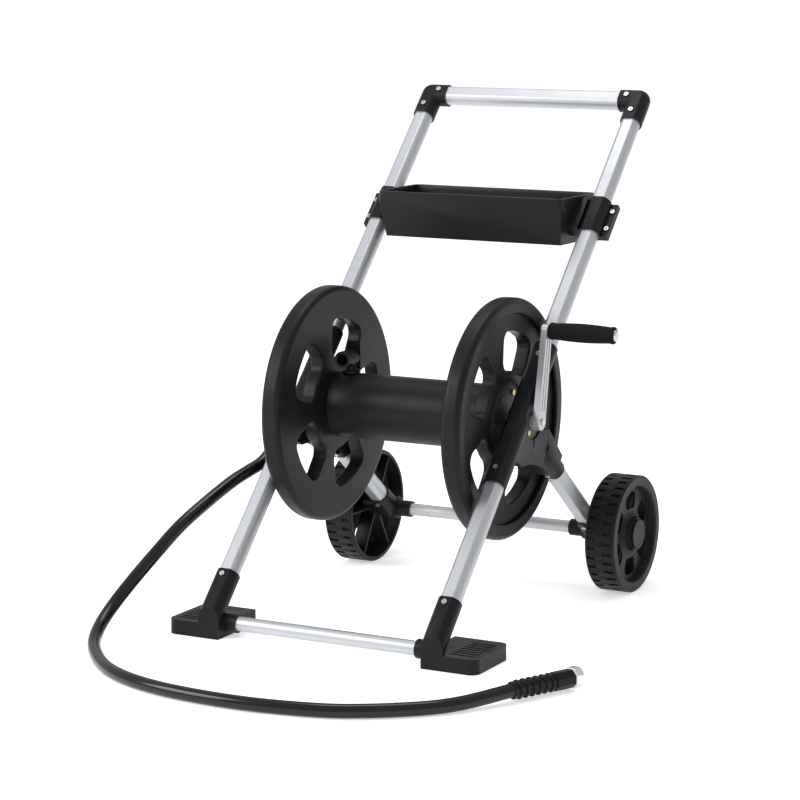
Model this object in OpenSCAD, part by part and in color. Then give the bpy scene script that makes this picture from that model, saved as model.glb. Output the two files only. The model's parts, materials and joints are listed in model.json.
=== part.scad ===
// Garden hose reel cart: a leaning frame of flat-fronted round tubes, a reel on a
// water shaft and a crank shaft, two wheels, a tray and a leader hose.

/* [Frame] */
// Distance between the centre planes of the two side tubes
track_w = 376; // [370:2:420]
// Lean of the side tubes back from upright, in degrees
tube_tilt = 44.3; // [43:0.1:46]
// Distance up the side tubes from the floor to the middle of the handle bar
handle_t = 1094; // [1040:2:1160]
// Diameter of the round part of the frame tubes
tube_d = 31; // [29:0.5:32]
// Width of the flat along the front of the frame tubes
tube_flat = 15.5; // [12:0.5:18]
// Wall of the frame tubes
tube_wall = 1.5; // [1:0.1:2]
// Wall of the plastic sleeves around the frame tubes
sleeve_wall = 2.8; // [2:0.1:3]
// Diameter of the front cross tube
front_tube_d = 22; // [18:1:24]
// Diameter of the rear cross tube
rear_tube_d = 20; // [18:1:22]
// Lean of the rear legs from upright, in degrees
leg_tilt = 52; // [50:0.5:54]
// Distance from the wheel axle up each rear leg to the mouth of its socket
leg_mouth = 207; // [190:1:215]

/* [Feet] */
// Distance from the side tubes' floor point back to the front of the feet
foot_front = 43; // [40:1:48]
// Length of each foot from front to back
foot_l = 110; // [95:1:125]
// Width of each foot inside the side tube's centre plane
foot_in = 17; // [15:0.5:20]
// Width of each foot outside the side tube's centre plane
foot_out = 72; // [60:1:80]
// Height of the foot plates
foot_h = 23; // [18:1:26]
// Distance up the side tubes to the top of the foot sleeves
foot_top = 135; // [120:1:150]

/* [Reel] */
// Distance up the side tubes to the reel axis
reel_t = 470; // [460:1:480]
// Distance of the reel axis behind the front face of the side tubes
reel_dep = 30; // [28:0.5:34]
// Outside diameter of the reel flanges
flange_d = 370; // [340:2:380]
// Thickness of the reel flanges at the rim
flange_t = 31.5; // [26:0.5:32]
// Outside diameter of the drum
drum_d = 103; // [95:1:110]
// Wall of the drum
drum_wall = 3; // [2:0.5:4]
// Diameter of the hollow water shaft
water_shaft_d = 24; // [20:1:26]
// Diameter of the crank shaft
crank_shaft_d = 16; // [12:1:18]
// Distance from the reel axis to the crank grip axis
crank_l = 138; // [120:1:150]
// Length of the crank grip
grip_l = 106; // [90:1:110]

/* [Wheels] */
// Diameter of the wheels
wheel_d = 188.6; // [170:0.1:195]
// Width of the wheels
wheel_w = 50; // [40:1:54]
// Diameter of the wheel axle
axle_d = 10; // [8:1:12]
// Distance of the wheel axle behind the side tubes' floor point
axle_y = 619.5; // [610:0.5:630]

/* [Tray] */
// Length of the tray between the side tubes
tray_l = 326; // [300:2:330]
// Width of the tray at the rim, from front to back
tray_w = 138; // [120:2:150]
// Height of the tray
tray_h = 74; // [60:1:80]
// Wall of the tray
tray_wall = 3; // [2:0.5:4]
// Distance up the side tubes to the middle of the tray clamps
tray_t = 850; // [820:2:880]

/* [Hose] */
// Outside diameter of the leader hose
hose_d = 21; // [18:0.5:22]

/* [Hidden] */
$fn = 48;

// Clearance of a tube in its socket
tube_fit = 0.1;
// Running clearance of a shaft in its bore, on the radius
run_fit = 0.05;
// Gap between faces that turn past each other
run_gap = 0.5;
// A length longer than any cut needs
far = 400;
// How far a straight edge stays inside a round one that it would only touch
edge_step = 0.3;

// Frame tube: the flat face is at depth 0 and the round back is at tube_depth
tube_r = tube_d / 2;
flat_to_centre = sqrt(tube_r * tube_r - tube_flat * tube_flat / 4);
tube_depth = flat_to_centre + tube_r;
tube_x = track_w / 2;
sleeve_r = tube_r + sleeve_wall;

// A place in the side view, [y, z], from a distance up the tube and a depth behind its face
function on_tube(t, dep) = [
    t * sin(tube_tilt) + dep * cos(tube_tilt),
    t * cos(tube_tilt) - dep * sin(tube_tilt)
];

// Screws through the front face of the frame tubes
screw_d = 4;
screw_head_d = 8;
screw_head_h = 2.4;
screw_l = 8;
screw_socket_r = 1.5;
screw_socket_floor = 1;
foot_screw_t = foot_top - 10;
bracket_screw_in = 24;
corner_screw_in = 13;

// Handle bar and its corners
bar_reach = tube_x + 5;
corner_arm = 31;
corner_leg = 47;

// Feet
foot_seat = foot_top - 51;
foot_corner_r = 14;
front_tube_y = foot_front + 29;
front_tube_z = 21;
front_socket_r = front_tube_d / 2 + 3.5;
front_socket_out = 36;
front_seat = 12;
foot_slots = 7;
foot_slot_w = 4.5;
foot_slot_pitch = 11.5;
foot_slot_depth = 12;
foot_slot_margin = 9;
foot_slot_gap = 3;
foot_slots_from = 15;

// Side brackets
bracket_low = reel_t - 132;
bracket_high = reel_t + 126;
bracket_seat = 58;
hub_r = 24;
hub_in = sleeve_r - 0.5;
pocket_r = 28;
pocket_x = 11;
web_in = 10;
web_out = 16;
web_top_drop = 18;
web_back = 54;
web_up_drop = 36;
web_low_drop = 8;
web_front = 8;
web_slope = 2;
web_waist = 84;
web_into_socket = 16;
arch_r = 150;
arch_y = -32;
arch_drop = 213;
leg_seat = 42;
leg_socket_end = 30;
leg_screw_in = 12;
slot_w = 4;
slot_l = 16;
slot_low = 22;
slot_depth = 3;

// Reel axis
reel_y = on_tube(reel_t, reel_dep)[0];
reel_z = on_tube(reel_t, reel_dep)[1];

// Bushes in the side brackets
bush_wall = 4;
bush_flange_t = 2;
bush_flange_r = 27;
bush_screw_at = 22;
bush_out = pocket_x + bush_flange_t;

// Wheel axle, rear cross tube and rear brackets
axle_z = wheel_d / 2;
axle_r = axle_d / 2;
washer_w = 5;
rear_hub_r = 17;
rear_socket_r = rear_tube_d / 2 + 3.5;
rear_socket_out = 42;
rear_seat = 20;
leg_low = 22;
rear_sleeve_top = 50;
leg_top = leg_mouth + leg_seat;
leg_screw_s = rear_sleeve_top - 9;

// Wheels
wheel_clear = 4.7;
wheel_in = tube_x + sleeve_r + wheel_clear;
wheel_out = wheel_in + wheel_w;
wheel_r = wheel_d / 2;
cap_proud = 4;
hub_cap_r = 24;
hub_r_in = 15;
hub_r_out = 21;
hub_cone_r = 36;
hub_cone_h = 4;
tread_edge = 2;
band_t = 7;
band_slope = 8;
lip_t = 17;
lip_depth = 12;
dish_t = 4;
notches = 36;
notch_w = 6;
notch_depth = 3.2;
notch_row_in = 13;
notch_row_out = 16;
notch_margin = 4;
rib_t = 3;
rib_in = 14;
wheel_holes = 6;
wheel_hole_in = 40;
wheel_hole_out = 68;
wheel_hole_corner = 10;
wheel_hole_angle = 9.5;
clip_r = 12;
clip_t = 1.5;
clip_gap = 0.3;
axle_end = wheel_out - 6;

// Reel flanges, from the hub outwards
flange_r = flange_d / 2;
flange_out = tube_x - hub_in - 2;
flange_in = flange_out - flange_t;
flange_skin = 2.5;
flange_dish = 8;
rim_r = 9;
rim_w = 15;
hub_ring_r = 61;
hub_ring_w = 6;
hub_ring_h = 4;
shaft_boss_r = 24;
window_in = 76;
window_out = 136;
window_corner = 20;
window_angle = 12.5;
window_first = 16;
windows = 5;
flange_screw_count = 6;
flange_screw_first = 38;
flange_screw_at = 42;
flange_screw_d = 4.5;
flange_screw_head_d = 9;
flange_screw_l = 34;
flange_screw_head_h = 2.5;
spigot_l = 10;
spigot_wall = 3.9;
drum_r = drum_d / 2;
spigot_r = drum_r - drum_wall - tube_fit;
drum_boss_r = 7.2;
drum_boss_l = 30;
web_face = flange_out - flange_dish;

// Water shaft, its block inside the drum and the outlet
block_w = 30;
outlet_x = -flange_in + 26;
outlet_r = 8;
water_bore = 5.5;
outlet_z = 75;
thread_r = 13.3;
thread_l = 22;
outlet_neck = 9;
outlet_neck_r = 12.3;
outlet_bore = 9.3;
outlet_collar_w = 6;
outlet_collar_h = 2.8;
fin_w = 24;
fin_t = 3;
fin_l = 44;
fin_at = 6;
shaft_end = tube_x + bush_out + 22;

// Inlet elbow on the outside of the left bracket
elbow_r = 17;
elbow_plate_t = 3;
elbow_gap = 0.1;
elbow_in = tube_x + bush_out + elbow_gap;
elbow_out = elbow_in + 36;
elbow_tilt = 35;
tail_r = hose_d / 2 - 0.5;
tail_l = 48;
tail_x = elbow_in + 25;
inlet_sleeve_l = 36;
seal_at = [elbow_in + 6, elbow_in + 13];
seal_w = 3;
seal_h = 2;
seal_gap = 0.1;

// Crank
crank_rest = 10;
crank_in = tube_x + sleeve_r + 1;
crank_t = 10;
crank_out = crank_in + crank_t;
crank_boss_r = 13;
crank_tip_r = 10;
crank_waist = 0.3;
crank_groove_w = 3;
crank_groove_d = 1.2;
crank_groove_at = 4;
crank_groove_end = 4;
crank_floor = 3;
crank_screw_r = 2.5;
crank_screw_head_r = 5;
crank_screw_head = 3;
shaft_head = 8;
shaft_head_r = 20;
grip_in = crank_out + 1.5;
grip_out = grip_in + grip_l;
grip_bolt_r = 4;
grip_end_r = 12.2;
grip_mid_r = 14.4;
grip_cap_r = 9;
grip_cap_h = 3.5;
grip_gap = 0.3;
grip_shoulder_r = 7;
grip_collar = 5;
grip_collar_edge = 1.5;
grip_collar_h = 1;
grip_barrel_in = 7;

// Tray
tray_over = 33;
tray_behind = 4;
tray_top_z = on_tube(tray_t + tray_over, -sleeve_wall)[1];
tray_mid_y = on_tube(tray_t, tray_behind)[0];
tray_corner_r = 14;
tray_front_taper = 20;
tray_back_taper = 12;
tray_end_taper = 8;
clamp_h = 65;
clamp_split = 22;
ear_w = 11;
ear_t = 5;
clamp_screw_pitch = 34;
clamp_web = 16;

// Coupling at the far end of the leader hose, along its own axis from the mouth back
mouth = [412, 60, 16.2];
heading = 65;
nut_r = 16;
nut_l = 15;
nut_shank_r = 12.2;
nut_shank_l = 14;
nut_seat_r = 11.2;
nut_gap = 0.4;
stem_r = 8.6;
hose_sleeve_r = 14;
hose_sleeve_l = 108;
hose_end = 47;
tail_bore = 6;
nut_bore_l = 10;
nut_floor = 14.5;
washer_t = 1.8;
washer_at = nut_bore_l + washer_t + 0.2;
sleeve_grooves = 6;
groove_pitch = 11;
groove_w = 4;
groove_depth = 1.6;

// Leader hose, from the inlet elbow to the coupling; round places chosen along its lie
route = concat([
    [-tail_x, reel_y - tail_l * sin(elbow_tilt), reel_z - tail_l * cos(elbow_tilt)],
    [-226, 305, 252], [-227, 290, 236], [-230, 270, 225], [-235, 240, 217],
    [-242, 202, 206], [-252, 146, 184], [-265, 90, 156], [-280, 44, 121],
    [-298, 10, 86], [-308, -30, 54], [-304, -72, 32], [-286, -114, 18],
    [-248, -160, 12], [-200, -202, 10.6], [-145, -232, 10.6], [-82, -251, 10.6],
    [-18, -259, 10.6], [50, -260, 10.6], [115, -252, 10.6], [176, -237, 10.6],
    [222, -214, 10.6], [262, -186, 10.6], [296, -155, 10.6], [320, -124, 11.5],
    [341, -90, 14]
], [
    for (back = [hose_sleeve_l + nut_l, 85, hose_end])
        mouth - back * [cos(heading), sin(heading), 0]
]);
hose_sides = 12;
steps_between = 2;

// The frame stands so that the whole cart's box is centred on the origin
centre_x = round((grip_out + grip_cap_h - wheel_out - cap_proud) / 2);
centre_y = round((foot_front + handle_t * sin(tube_tilt)
    + flat_to_centre * cos(tube_tilt) + sleeve_r) / 2);

// Placing ------------------------------------------------------------------

module place() {
    translate([-centre_x, -centre_y, 0]) children();
}

module left() {
    mirror([1, 0, 0]) children();
}

// X stays, Y becomes the depth behind the tube face, Z runs up the tube
module in_tube() {
    rotate([-tube_tilt, 0, 0]) children();
}

// The same for a rear leg, measured up from the axle, with the flat face in front
module in_leg() {
    translate([tube_x, axle_y, axle_z]) rotate([leg_tilt, 0, 0]) children();
}

module at_reel() {
    translate([0, reel_y, reel_z]) children();
}

module at_axle() {
    translate([0, axle_y, axle_z]) children();
}

// A bar of a flat shape along X, whose own x is down and y is back
module bar_x(x0, x1) {
    translate([x0, 0, 0]) rotate([0, 90, 0]) linear_extrude(x1 - x0) children();
}

// A plate drawn as [y, z] in the side view and as thick as x0 to x1
module side_plate(x0, x1) {
    translate([x0, 0, 0]) rotate([90, 0, 90]) linear_extrude(x1 - x0) children();
}

// A shape of revolution about X, drawn as [radius, x]
module spin_x() {
    rotate([0, 90, 0]) rotate_extrude() children();
}

module rod_x(r, x0, x1) {
    translate([x0, 0, 0]) rotate([0, 90, 0]) cylinder(r = r, h = x1 - x0);
}

module ring_x(r_out, r_in, x0, x1) {
    difference() {
        rod_x(r_out, x0, x1);
        rod_x(r_in, x0 - 1, x1 + 1);
    }
}

// Shared shapes --------------------------------------------------------------

// Section of the frame tube, or of a sleeve that is grow bigger all round
module tube_section(grow = 0) {
    intersection() {
        translate([0, flat_to_centre]) circle(r = tube_r + grow);
        translate([-far / 2, -grow]) square([far, far]);
    }
}

module tube_wall_section() {
    difference() {
        tube_section();
        tube_section(-tube_wall);
    }
}

// A length of frame tube at its place on the right side
module side_tube(t0, t1, screws) {
    in_tube() difference() {
        translate([tube_x, 0, t0]) linear_extrude(t1 - t0) tube_wall_section();
        for (t = screws)
            translate([tube_x, 0, t]) screw_hole();
    }
}

module screw_hole() {
    rotate([90, 0, 0]) cylinder(r = screw_d / 2 + tube_fit, h = far / 10, center = true);
}

// A pan-head screw whose head seats on a face at y = 0 and whose shank runs back
module face_screw() {
    rotate([90, 0, 0]) union() {
        difference() {
            cylinder(r = screw_head_d / 2, h = screw_head_h);
            translate([0, 0, screw_socket_floor])
                cylinder(r = screw_socket_r, h = screw_head_h, $fn = 6);
        }
        translate([0, 0, -screw_l]) cylinder(r = screw_d / 2, h = screw_l);
    }
}

// Frame ------------------------------------------------------------------------

module foot_plate() {
    rr = foot_corner_r;
    w = foot_in + foot_out;
    difference() {
        linear_extrude(foot_h) union() {
            square([w - rr, foot_l]);
            translate([0, rr]) square([w, foot_l - 2 * rr]);
            translate([w - rr, rr]) circle(r = rr);
            translate([w - rr, foot_l - rr]) circle(r = rr);
        }
        for (i = [0 : foot_slots - 1])
            translate([foot_in + sleeve_r + foot_slot_gap,
                       foot_slots_from + i * foot_slot_pitch, foot_h - foot_slot_depth])
                cube([foot_out - sleeve_r - foot_slot_gap - foot_slot_margin, foot_slot_w, far]);
    }
}

module foot() {
    color([0.13, 0.13, 0.14]) difference() {
        union() {
            translate([tube_x - foot_in, foot_front, 0]) foot_plate();
            intersection() {
                in_tube() translate([tube_x, 0, 0])
                    linear_extrude(foot_top) tube_section(sleeve_wall);
                translate([0, foot_front, 0]) cube([far, far, far]);
            }
            translate([0, front_tube_y, front_tube_z])
                rod_x(front_socket_r, tube_x - front_socket_out, tube_x);
        }
        in_tube() translate([tube_x, 0, foot_seat])
            linear_extrude(far) tube_section(tube_fit);
        in_tube() translate([tube_x, 0, foot_screw_t]) screw_hole();
        translate([0, front_tube_y, front_tube_z])
            rod_x(front_tube_d / 2 + tube_fit, 0, tube_x - front_seat);
    }
}

module front_crossbar() {
    reach = tube_x - front_seat;
    color([0.8, 0.82, 0.84]) place() translate([0, front_tube_y, front_tube_z])
        ring_x(front_tube_d / 2, front_tube_d / 2 - tube_wall, -reach, reach);
}

module lower_tube() {
    color([0.8, 0.82, 0.84])
        side_tube(foot_seat, bracket_low + bracket_seat,
            [foot_screw_t, bracket_low + bracket_screw_in]);
}

module upper_tube() {
    color([0.8, 0.82, 0.84])
        side_tube(bracket_high - bracket_seat, handle_t - tube_r - sleeve_wall,
            [bracket_high - bracket_screw_in, handle_t - sleeve_r - corner_screw_in]);
}

// The bar lies across the top with its flat face in the plane of the side tubes' faces
module handle_bar() {
    color([0.8, 0.82, 0.84]) place() in_tube() difference() {
        translate([0, 0, handle_t]) bar_x(-bar_reach, bar_reach) tube_wall_section();
        for (side = [-1, 1])
            translate([side * (tube_x - sleeve_r + 1), 0, handle_t]) screw_hole();
    }
}

module corner() {
    color([0.12, 0.12, 0.13]) in_tube() difference() {
        union() {
            translate([tube_x, 0, handle_t - corner_leg])
                linear_extrude(corner_leg) tube_section(sleeve_wall);
            translate([0, 0, handle_t])
                bar_x(tube_x - corner_arm, tube_x) tube_section(sleeve_wall);
            translate([tube_x, 0, handle_t]) rotate([90, 0, 0])
                rotate_extrude(angle = 90) intersection() {
                    mirror([0, 1]) tube_section(sleeve_wall);
                    translate([0, -far / 2]) square([far, far]);
                }
        }
        translate([tube_x, 0, handle_t - far - sleeve_r])
            linear_extrude(far) tube_section(tube_fit);
        translate([0, 0, handle_t]) bar_x(0, bar_reach) tube_section(tube_fit);
        translate([tube_x - sleeve_r + 1, 0, handle_t]) screw_hole();
        translate([tube_x, 0, handle_t - sleeve_r - corner_screw_in]) screw_hole();
    }
}

// Side bracket: sleeves for the upper and lower tubes, a web and a socket for the leg
module web_outline() {
    up = on_tube(reel_t - web_up_drop, tube_depth / 2);
    low = on_tube(bracket_low + bracket_seat - web_low_drop, tube_depth / 2);
    leg_y = axle_y - (leg_mouth + web_into_socket) * sin(leg_tilt);
    leg_z = axle_z + (leg_mouth + web_into_socket) * cos(leg_tilt);
    half = tube_depth / 2 + sleeve_wall;
    difference() {
        polygon([
            low,
            up,
            [reel_y - web_front, reel_z - web_top_drop],
            [reel_y + web_back, reel_z - web_top_drop - web_slope],
            [leg_y + half * cos(leg_tilt), leg_z + half * sin(leg_tilt)],
            [leg_y - half * cos(leg_tilt), leg_z - half * sin(leg_tilt)],
            [reel_y, reel_z - web_waist]
        ]);
        translate([reel_y + arch_y, reel_z - arch_drop]) circle(r = arch_r);
    }
}

module leg_bore(s0, s1) {
    in_leg() translate([0, -tube_depth / 2, s0])
        linear_extrude(s1 - s0) tube_section(tube_fit);
}

module leg_sleeve(s0, s1) {
    in_leg() translate([0, -tube_depth / 2, s0])
        linear_extrude(s1 - s0) tube_section(sleeve_wall);
}

module side_bracket(bush_bore) {
    color([0.13, 0.13, 0.14]) difference() {
        union() {
            in_tube() translate([tube_x, 0, bracket_low])
                linear_extrude(bracket_high - bracket_low) tube_section(sleeve_wall);
            at_reel() rod_x(hub_r, tube_x - hub_in, tube_x + pocket_x);
            side_plate(tube_x - web_in, tube_x + web_out) web_outline();
            leg_sleeve(leg_mouth, leg_top + leg_socket_end);
        }
        in_tube() translate([tube_x, 0, bracket_low - 1])
            linear_extrude(bracket_seat + 1) tube_section(tube_fit);
        in_tube() translate([tube_x, 0, bracket_high - bracket_seat])
            linear_extrude(far) tube_section(tube_fit);
        for (t = [bracket_low + bracket_screw_in, bracket_high - bracket_screw_in])
            in_tube() translate([tube_x, 0, t]) screw_hole();
        leg_bore(leg_mouth - 1, leg_top);
        at_reel() rod_x(bush_bore, 0, far);
        at_reel() rod_x(pocket_r, tube_x + pocket_x, far);
        for (side = [-1, 1])
            bush_screw_place(side) rod_x(screw_d / 2 + tube_fit, -far / 20, far / 20);
        translate([tube_x + web_out - slot_depth, reel_y - slot_w / 2,
                   reel_z - web_top_drop - slot_low])
            cube([far, slot_w, slot_l]);
        in_leg() translate([0, 0, leg_mouth + leg_screw_in]) leg_screw_hole();
    }
}

module leg_screw_hole() {
    translate([0, -tube_depth / 2, 0]) rotate([90, 0, 0])
        translate([0, 0, -tube_depth / 2]) cylinder(r = screw_d / 2 + tube_fit, h = far / 4);
}

module rear_leg() {
    color([0.8, 0.82, 0.84]) difference() {
        in_leg() translate([0, -tube_depth / 2, leg_low])
            linear_extrude(leg_top - leg_low) tube_wall_section();
        for (s = [leg_screw_s, leg_mouth + leg_screw_in])
            in_leg() translate([0, 0, s]) leg_screw_hole();
    }
}

module rear_bracket() {
    color([0.13, 0.13, 0.14]) difference() {
        union() {
            leg_sleeve(0, rear_sleeve_top);
            at_axle() rod_x(rear_hub_r, tube_x - sleeve_r, tube_x + sleeve_r);
            at_axle() rod_x(rear_socket_r, tube_x - rear_socket_out, tube_x);
        }
        leg_bore(leg_low, far);
        at_axle() rod_x(rear_tube_d / 2 + tube_fit, 0, tube_x - rear_seat);
        at_axle() rod_x(axle_r + tube_fit, 0, far);
        in_leg() translate([0, 0, leg_screw_s]) leg_screw_hole();
    }
}

module rear_crossbar() {
    reach = tube_x - rear_seat;
    color([0.8, 0.82, 0.84]) place() at_axle()
        ring_x(rear_tube_d / 2, rear_tube_d / 2 - tube_wall, -reach, reach);
}

module wheel_axle() {
    color([0.7, 0.71, 0.72]) place() at_axle() rod_x(axle_r, -axle_end, axle_end);
}

module axle_washers() {
    color([0.75, 0.76, 0.77]) place() at_axle() for (side = [0, 1]) mirror([side, 0, 0])
        ring_x(axle_r + washer_w, axle_r + run_fit, tube_x + sleeve_r, wheel_in - run_gap);
}

// Screws of the frame, each group on both sides
module both_sides() {
    place() for (side = [0, 1]) mirror([side, 0, 0]) children();
}

module foot_screws() {
    color([0.75, 0.76, 0.77]) both_sides() in_tube()
        translate([tube_x, -sleeve_wall, foot_screw_t]) face_screw();
}

module bracket_screws() {
    color([0.75, 0.76, 0.77]) both_sides() in_tube()
        for (t = [bracket_low + bracket_screw_in, bracket_high - bracket_screw_in])
            translate([tube_x, -sleeve_wall, t]) face_screw();
}

module corner_screws() {
    color([0.75, 0.76, 0.77]) both_sides() in_tube() union() {
        translate([tube_x, -sleeve_wall, handle_t - sleeve_r - corner_screw_in]) face_screw();
        translate([tube_x - sleeve_r + 1, -sleeve_wall, handle_t]) face_screw();
    }
}

module leg_screws() {
    color([0.75, 0.76, 0.77]) both_sides() in_leg()
        for (s = [leg_screw_s, leg_mouth + leg_screw_in])
            translate([0, -tube_depth / 2 - sleeve_wall, s]) face_screw();
}

// Tray -------------------------------------------------------------------------

// Outside of the tray, or its inside when drawn smaller by its wall
module tray_form(inset) {
    half = tray_l / 2 - inset;
    front = tray_mid_y - tray_w / 2 + inset;
    back = tray_mid_y + tray_w / 2 - inset;
    low = tray_top_z - tray_h + inset;
    high = tray_top_z + (inset > 0 ? 10 : 0);
    cr = tray_corner_r - inset;
    intersection() {
        side_plate(-half, half) polygon([
            [front, high], [back, high],
            [back - tray_back_taper, low], [front + tray_front_taper, low]
        ]);
        translate([0, far * 2, 0]) rotate([90, 0, 0]) linear_extrude(far * 2) polygon([
            [-half, high], [half, high],
            [half - tray_end_taper, low], [tray_end_taper - half, low]
        ]);
        translate([0, 0, low]) linear_extrude(tray_h * 2) union() {
            translate([-half, front + cr]) square([half * 2, back - front - 2 * cr]);
            translate([cr - half, front]) square([2 * (half - cr), back - front]);
            for (x = [cr - half, half - cr], y = [front + cr, back - cr])
                translate([x, y]) circle(r = cr);
        }
    }
}

module clamp_section() {
    difference() {
        union() {
            tube_section(sleeve_wall);
            translate([0, clamp_split - ear_t]) square([sleeve_r + ear_w, 2 * ear_t]);
        }
        tube_section(tube_fit);
    }
}

module clamp_screw_holes(h) {
    for (side = [-1, 1])
        translate([tube_x + sleeve_r + ear_w / 2, clamp_split, tray_t + side * clamp_screw_pitch / 2])
            rotate([90, 0, 0]) cylinder(r = screw_d / 2 + tube_fit, h = h, center = true);
}

module tray_clamp() {
    in_tube() difference() {
        union() {
            translate([tube_x, 0, tray_t - clamp_h / 2]) linear_extrude(clamp_h) intersection() {
                clamp_section();
                translate([-far / 2, -far]) square([far, far + clamp_split - tube_fit]);
            }
            translate([tube_x - sleeve_r - clamp_web, -sleeve_wall, tray_t - clamp_h / 2])
                cube([clamp_web + sleeve_wall, clamp_split, clamp_h - tray_behind]);
        }
        translate([tube_x, 0, 0]) linear_extrude(handle_t) tube_section(tube_fit);
        clamp_screw_holes(far / 10);
    }
}

module tray() {
    color([0.07, 0.07, 0.08]) place() difference() {
        union() {
            tray_form(0);
            tray_clamp();
            left() tray_clamp();
        }
        tray_form(tray_wall);
    }
}

module clamp_plate() {
    color([0.12, 0.12, 0.13]) in_tube() difference() {
        translate([tube_x, 0, tray_t - clamp_h / 2]) linear_extrude(clamp_h) intersection() {
            clamp_section();
            translate([-far / 2, clamp_split]) square([far, far]);
        }
        clamp_screw_holes(far / 10);
    }
}

module clamp_screws() {
    color([0.75, 0.76, 0.77]) both_sides() in_tube() for (side = [-1, 1])
        translate([tube_x + sleeve_r + ear_w / 2, clamp_split - ear_t,
                   tray_t + side * clamp_screw_pitch / 2]) face_screw();
}

// Bushes -----------------------------------------------------------------------

// The bush screws sit above and below the shaft, in line with the side tube
module bush_screw_place(side) {
    at_reel() translate([tube_x + bush_out,
        side * bush_screw_at * sin(tube_tilt), side * bush_screw_at * cos(tube_tilt)]) children();
}

module bush(shaft_d) {
    color([0.85, 0.84, 0.8]) difference() {
        at_reel() union() {
            rod_x(shaft_d / 2 + bush_wall, tube_x - hub_in, tube_x + pocket_x);
            rod_x(bush_flange_r, tube_x + pocket_x, tube_x + bush_out);
        }
        at_reel() rod_x(shaft_d / 2 + run_fit, 0, far);
        for (side = [-1, 1])
            bush_screw_place(side) rod_x(screw_d / 2 + tube_fit, -far / 20, far / 20);
    }
}

// On the left the screws also hold the inlet elbow's plate
module bush_screws() {
    color([0.72, 0.58, 0.3]) place() for (side = [-1, 1], hand = [0, 1]) {
        lift = hand * (elbow_plate_t + elbow_gap);
        mirror([hand, 0, 0]) bush_screw_place(side) translate([lift, 0, 0]) union() {
            rod_x(screw_head_d / 2, 0, screw_head_h);
            rod_x(screw_d / 2, -bush_flange_t - screw_l - lift, 0);
        }
    }
}

// Inlet elbow, at rest on the left bracket ----------------------------------------

module tail_axis() {
    at_reel() translate([tail_x, 0, 0]) rotate([180 - elbow_tilt, 0, 0]) children();
}

module inlet_elbow() {
    color([0.13, 0.13, 0.14]) place() left() difference() {
        union() {
            at_reel() rod_x(elbow_r, elbow_in, elbow_out);
            at_reel() rod_x(bush_flange_r, elbow_in, elbow_in + elbow_plate_t);
            tail_axis() cylinder(r = tail_r, h = tail_l);
        }
        at_reel() rod_x(water_shaft_d / 2 + run_fit, elbow_in - 1, shaft_end + run_gap);
        at_reel() rod_x(water_bore, shaft_end - 1, tail_x + water_bore);
        tail_axis() cylinder(r = water_bore, h = tail_l + 1);
        for (x = seal_at)
            at_reel() rod_x(water_shaft_d / 2 + seal_h, x, x + seal_w);
        for (side = [-1, 1])
            bush_screw_place(side) rod_x(screw_d / 2 + tube_fit, -far / 20, far / 20);
    }
}

module inlet_seals() {
    color([0.1, 0.1, 0.1]) place() left() at_reel() for (x = seal_at)
        ring_x(water_shaft_d / 2 + seal_h, water_shaft_d / 2 + seal_gap, x, x + seal_w);
}

module inlet_sleeve() {
    color([0.1, 0.1, 0.1]) place() left() tail_axis()
        translate([0, 0, tail_l - inlet_sleeve_l / 2]) difference() {
            cylinder(r = hose_sleeve_r, h = inlet_sleeve_l);
            translate([0, 0, -1]) cylinder(r = tail_r + tube_fit, h = inlet_sleeve_l + 2);
        }
}

// Leader hose --------------------------------------------------------------------

function blend(a, b, c, d, u) = 0.5 * (2 * b + (c - a) * u
    + (2 * a - 5 * b + 4 * c - d) * u * u + (3 * b - a - 3 * c + d) * u * u * u);
last = len(route) - 1;
function route_at(i, u) = blend(route[max(i - 1, 0)], route[i],
    route[min(i + 1, last)], route[min(i + 2, last)], u);
spine = concat([
    for (i = [0 : last - 1], k = [0 : steps_between - 1]) route_at(i, k / steps_between)
], [route[last]]);

function unit(v) = v / norm(v);
function heading_at(i) = unit(spine[min(i + 1, len(spine) - 1)] - spine[max(i - 1, 0)]);
function ring_at(i, r) =
    let (ahead = i == len(spine) - 1 ? [cos(heading), sin(heading), 0] : heading_at(i),
         side = unit(cross(ahead, [0, 0, 1])),
         up = cross(side, ahead))
    [for (k = [0 : hose_sides - 1])
        let (a = 360 * k / hose_sides) spine[i] + r * (cos(a) * side + sin(a) * up)];

module leader_hose() {
    rings = len(spine);
    n = hose_sides;
    points = [for (i = [0 : rings - 1]) each ring_at(i, hose_d / 2)];
    walls = [
        for (i = [0 : rings - 2], k = [0 : n - 1])
            let (a = i * n + k, b = i * n + (k + 1) % n)
            each [[a, b + n, b], [a, a + n, b + n]]
    ];
    ends = [[for (k = [0 : n - 1]) k], [for (k = [n - 1 : -1 : 0]) (rings - 1) * n + k]];
    color([0.06, 0.06, 0.07]) place() polyhedron(points, concat(walls, ends), convexity = 8);
}

// X runs out of the coupling's mouth and is 0 at the mouth
module at_coupling() {
    place() translate(mouth) rotate([0, 0, heading]) children();
}

module hose_sleeve() {
    back = -(hose_sleeve_l + nut_l);
    color([0.1, 0.1, 0.1]) at_coupling() difference() {
        rod_x(hose_sleeve_r, back, -nut_l - nut_gap);
        rod_x(tail_r + tube_fit, back - 1, 0);
        rod_x(nut_shank_r + nut_gap, -hose_end, 0);
        for (i = [1 : sleeve_grooves])
            ring_x(far / 10, hose_sleeve_r - groove_depth,
                back + i * groove_pitch, back + i * groove_pitch + groove_w);
    }
}

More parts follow.
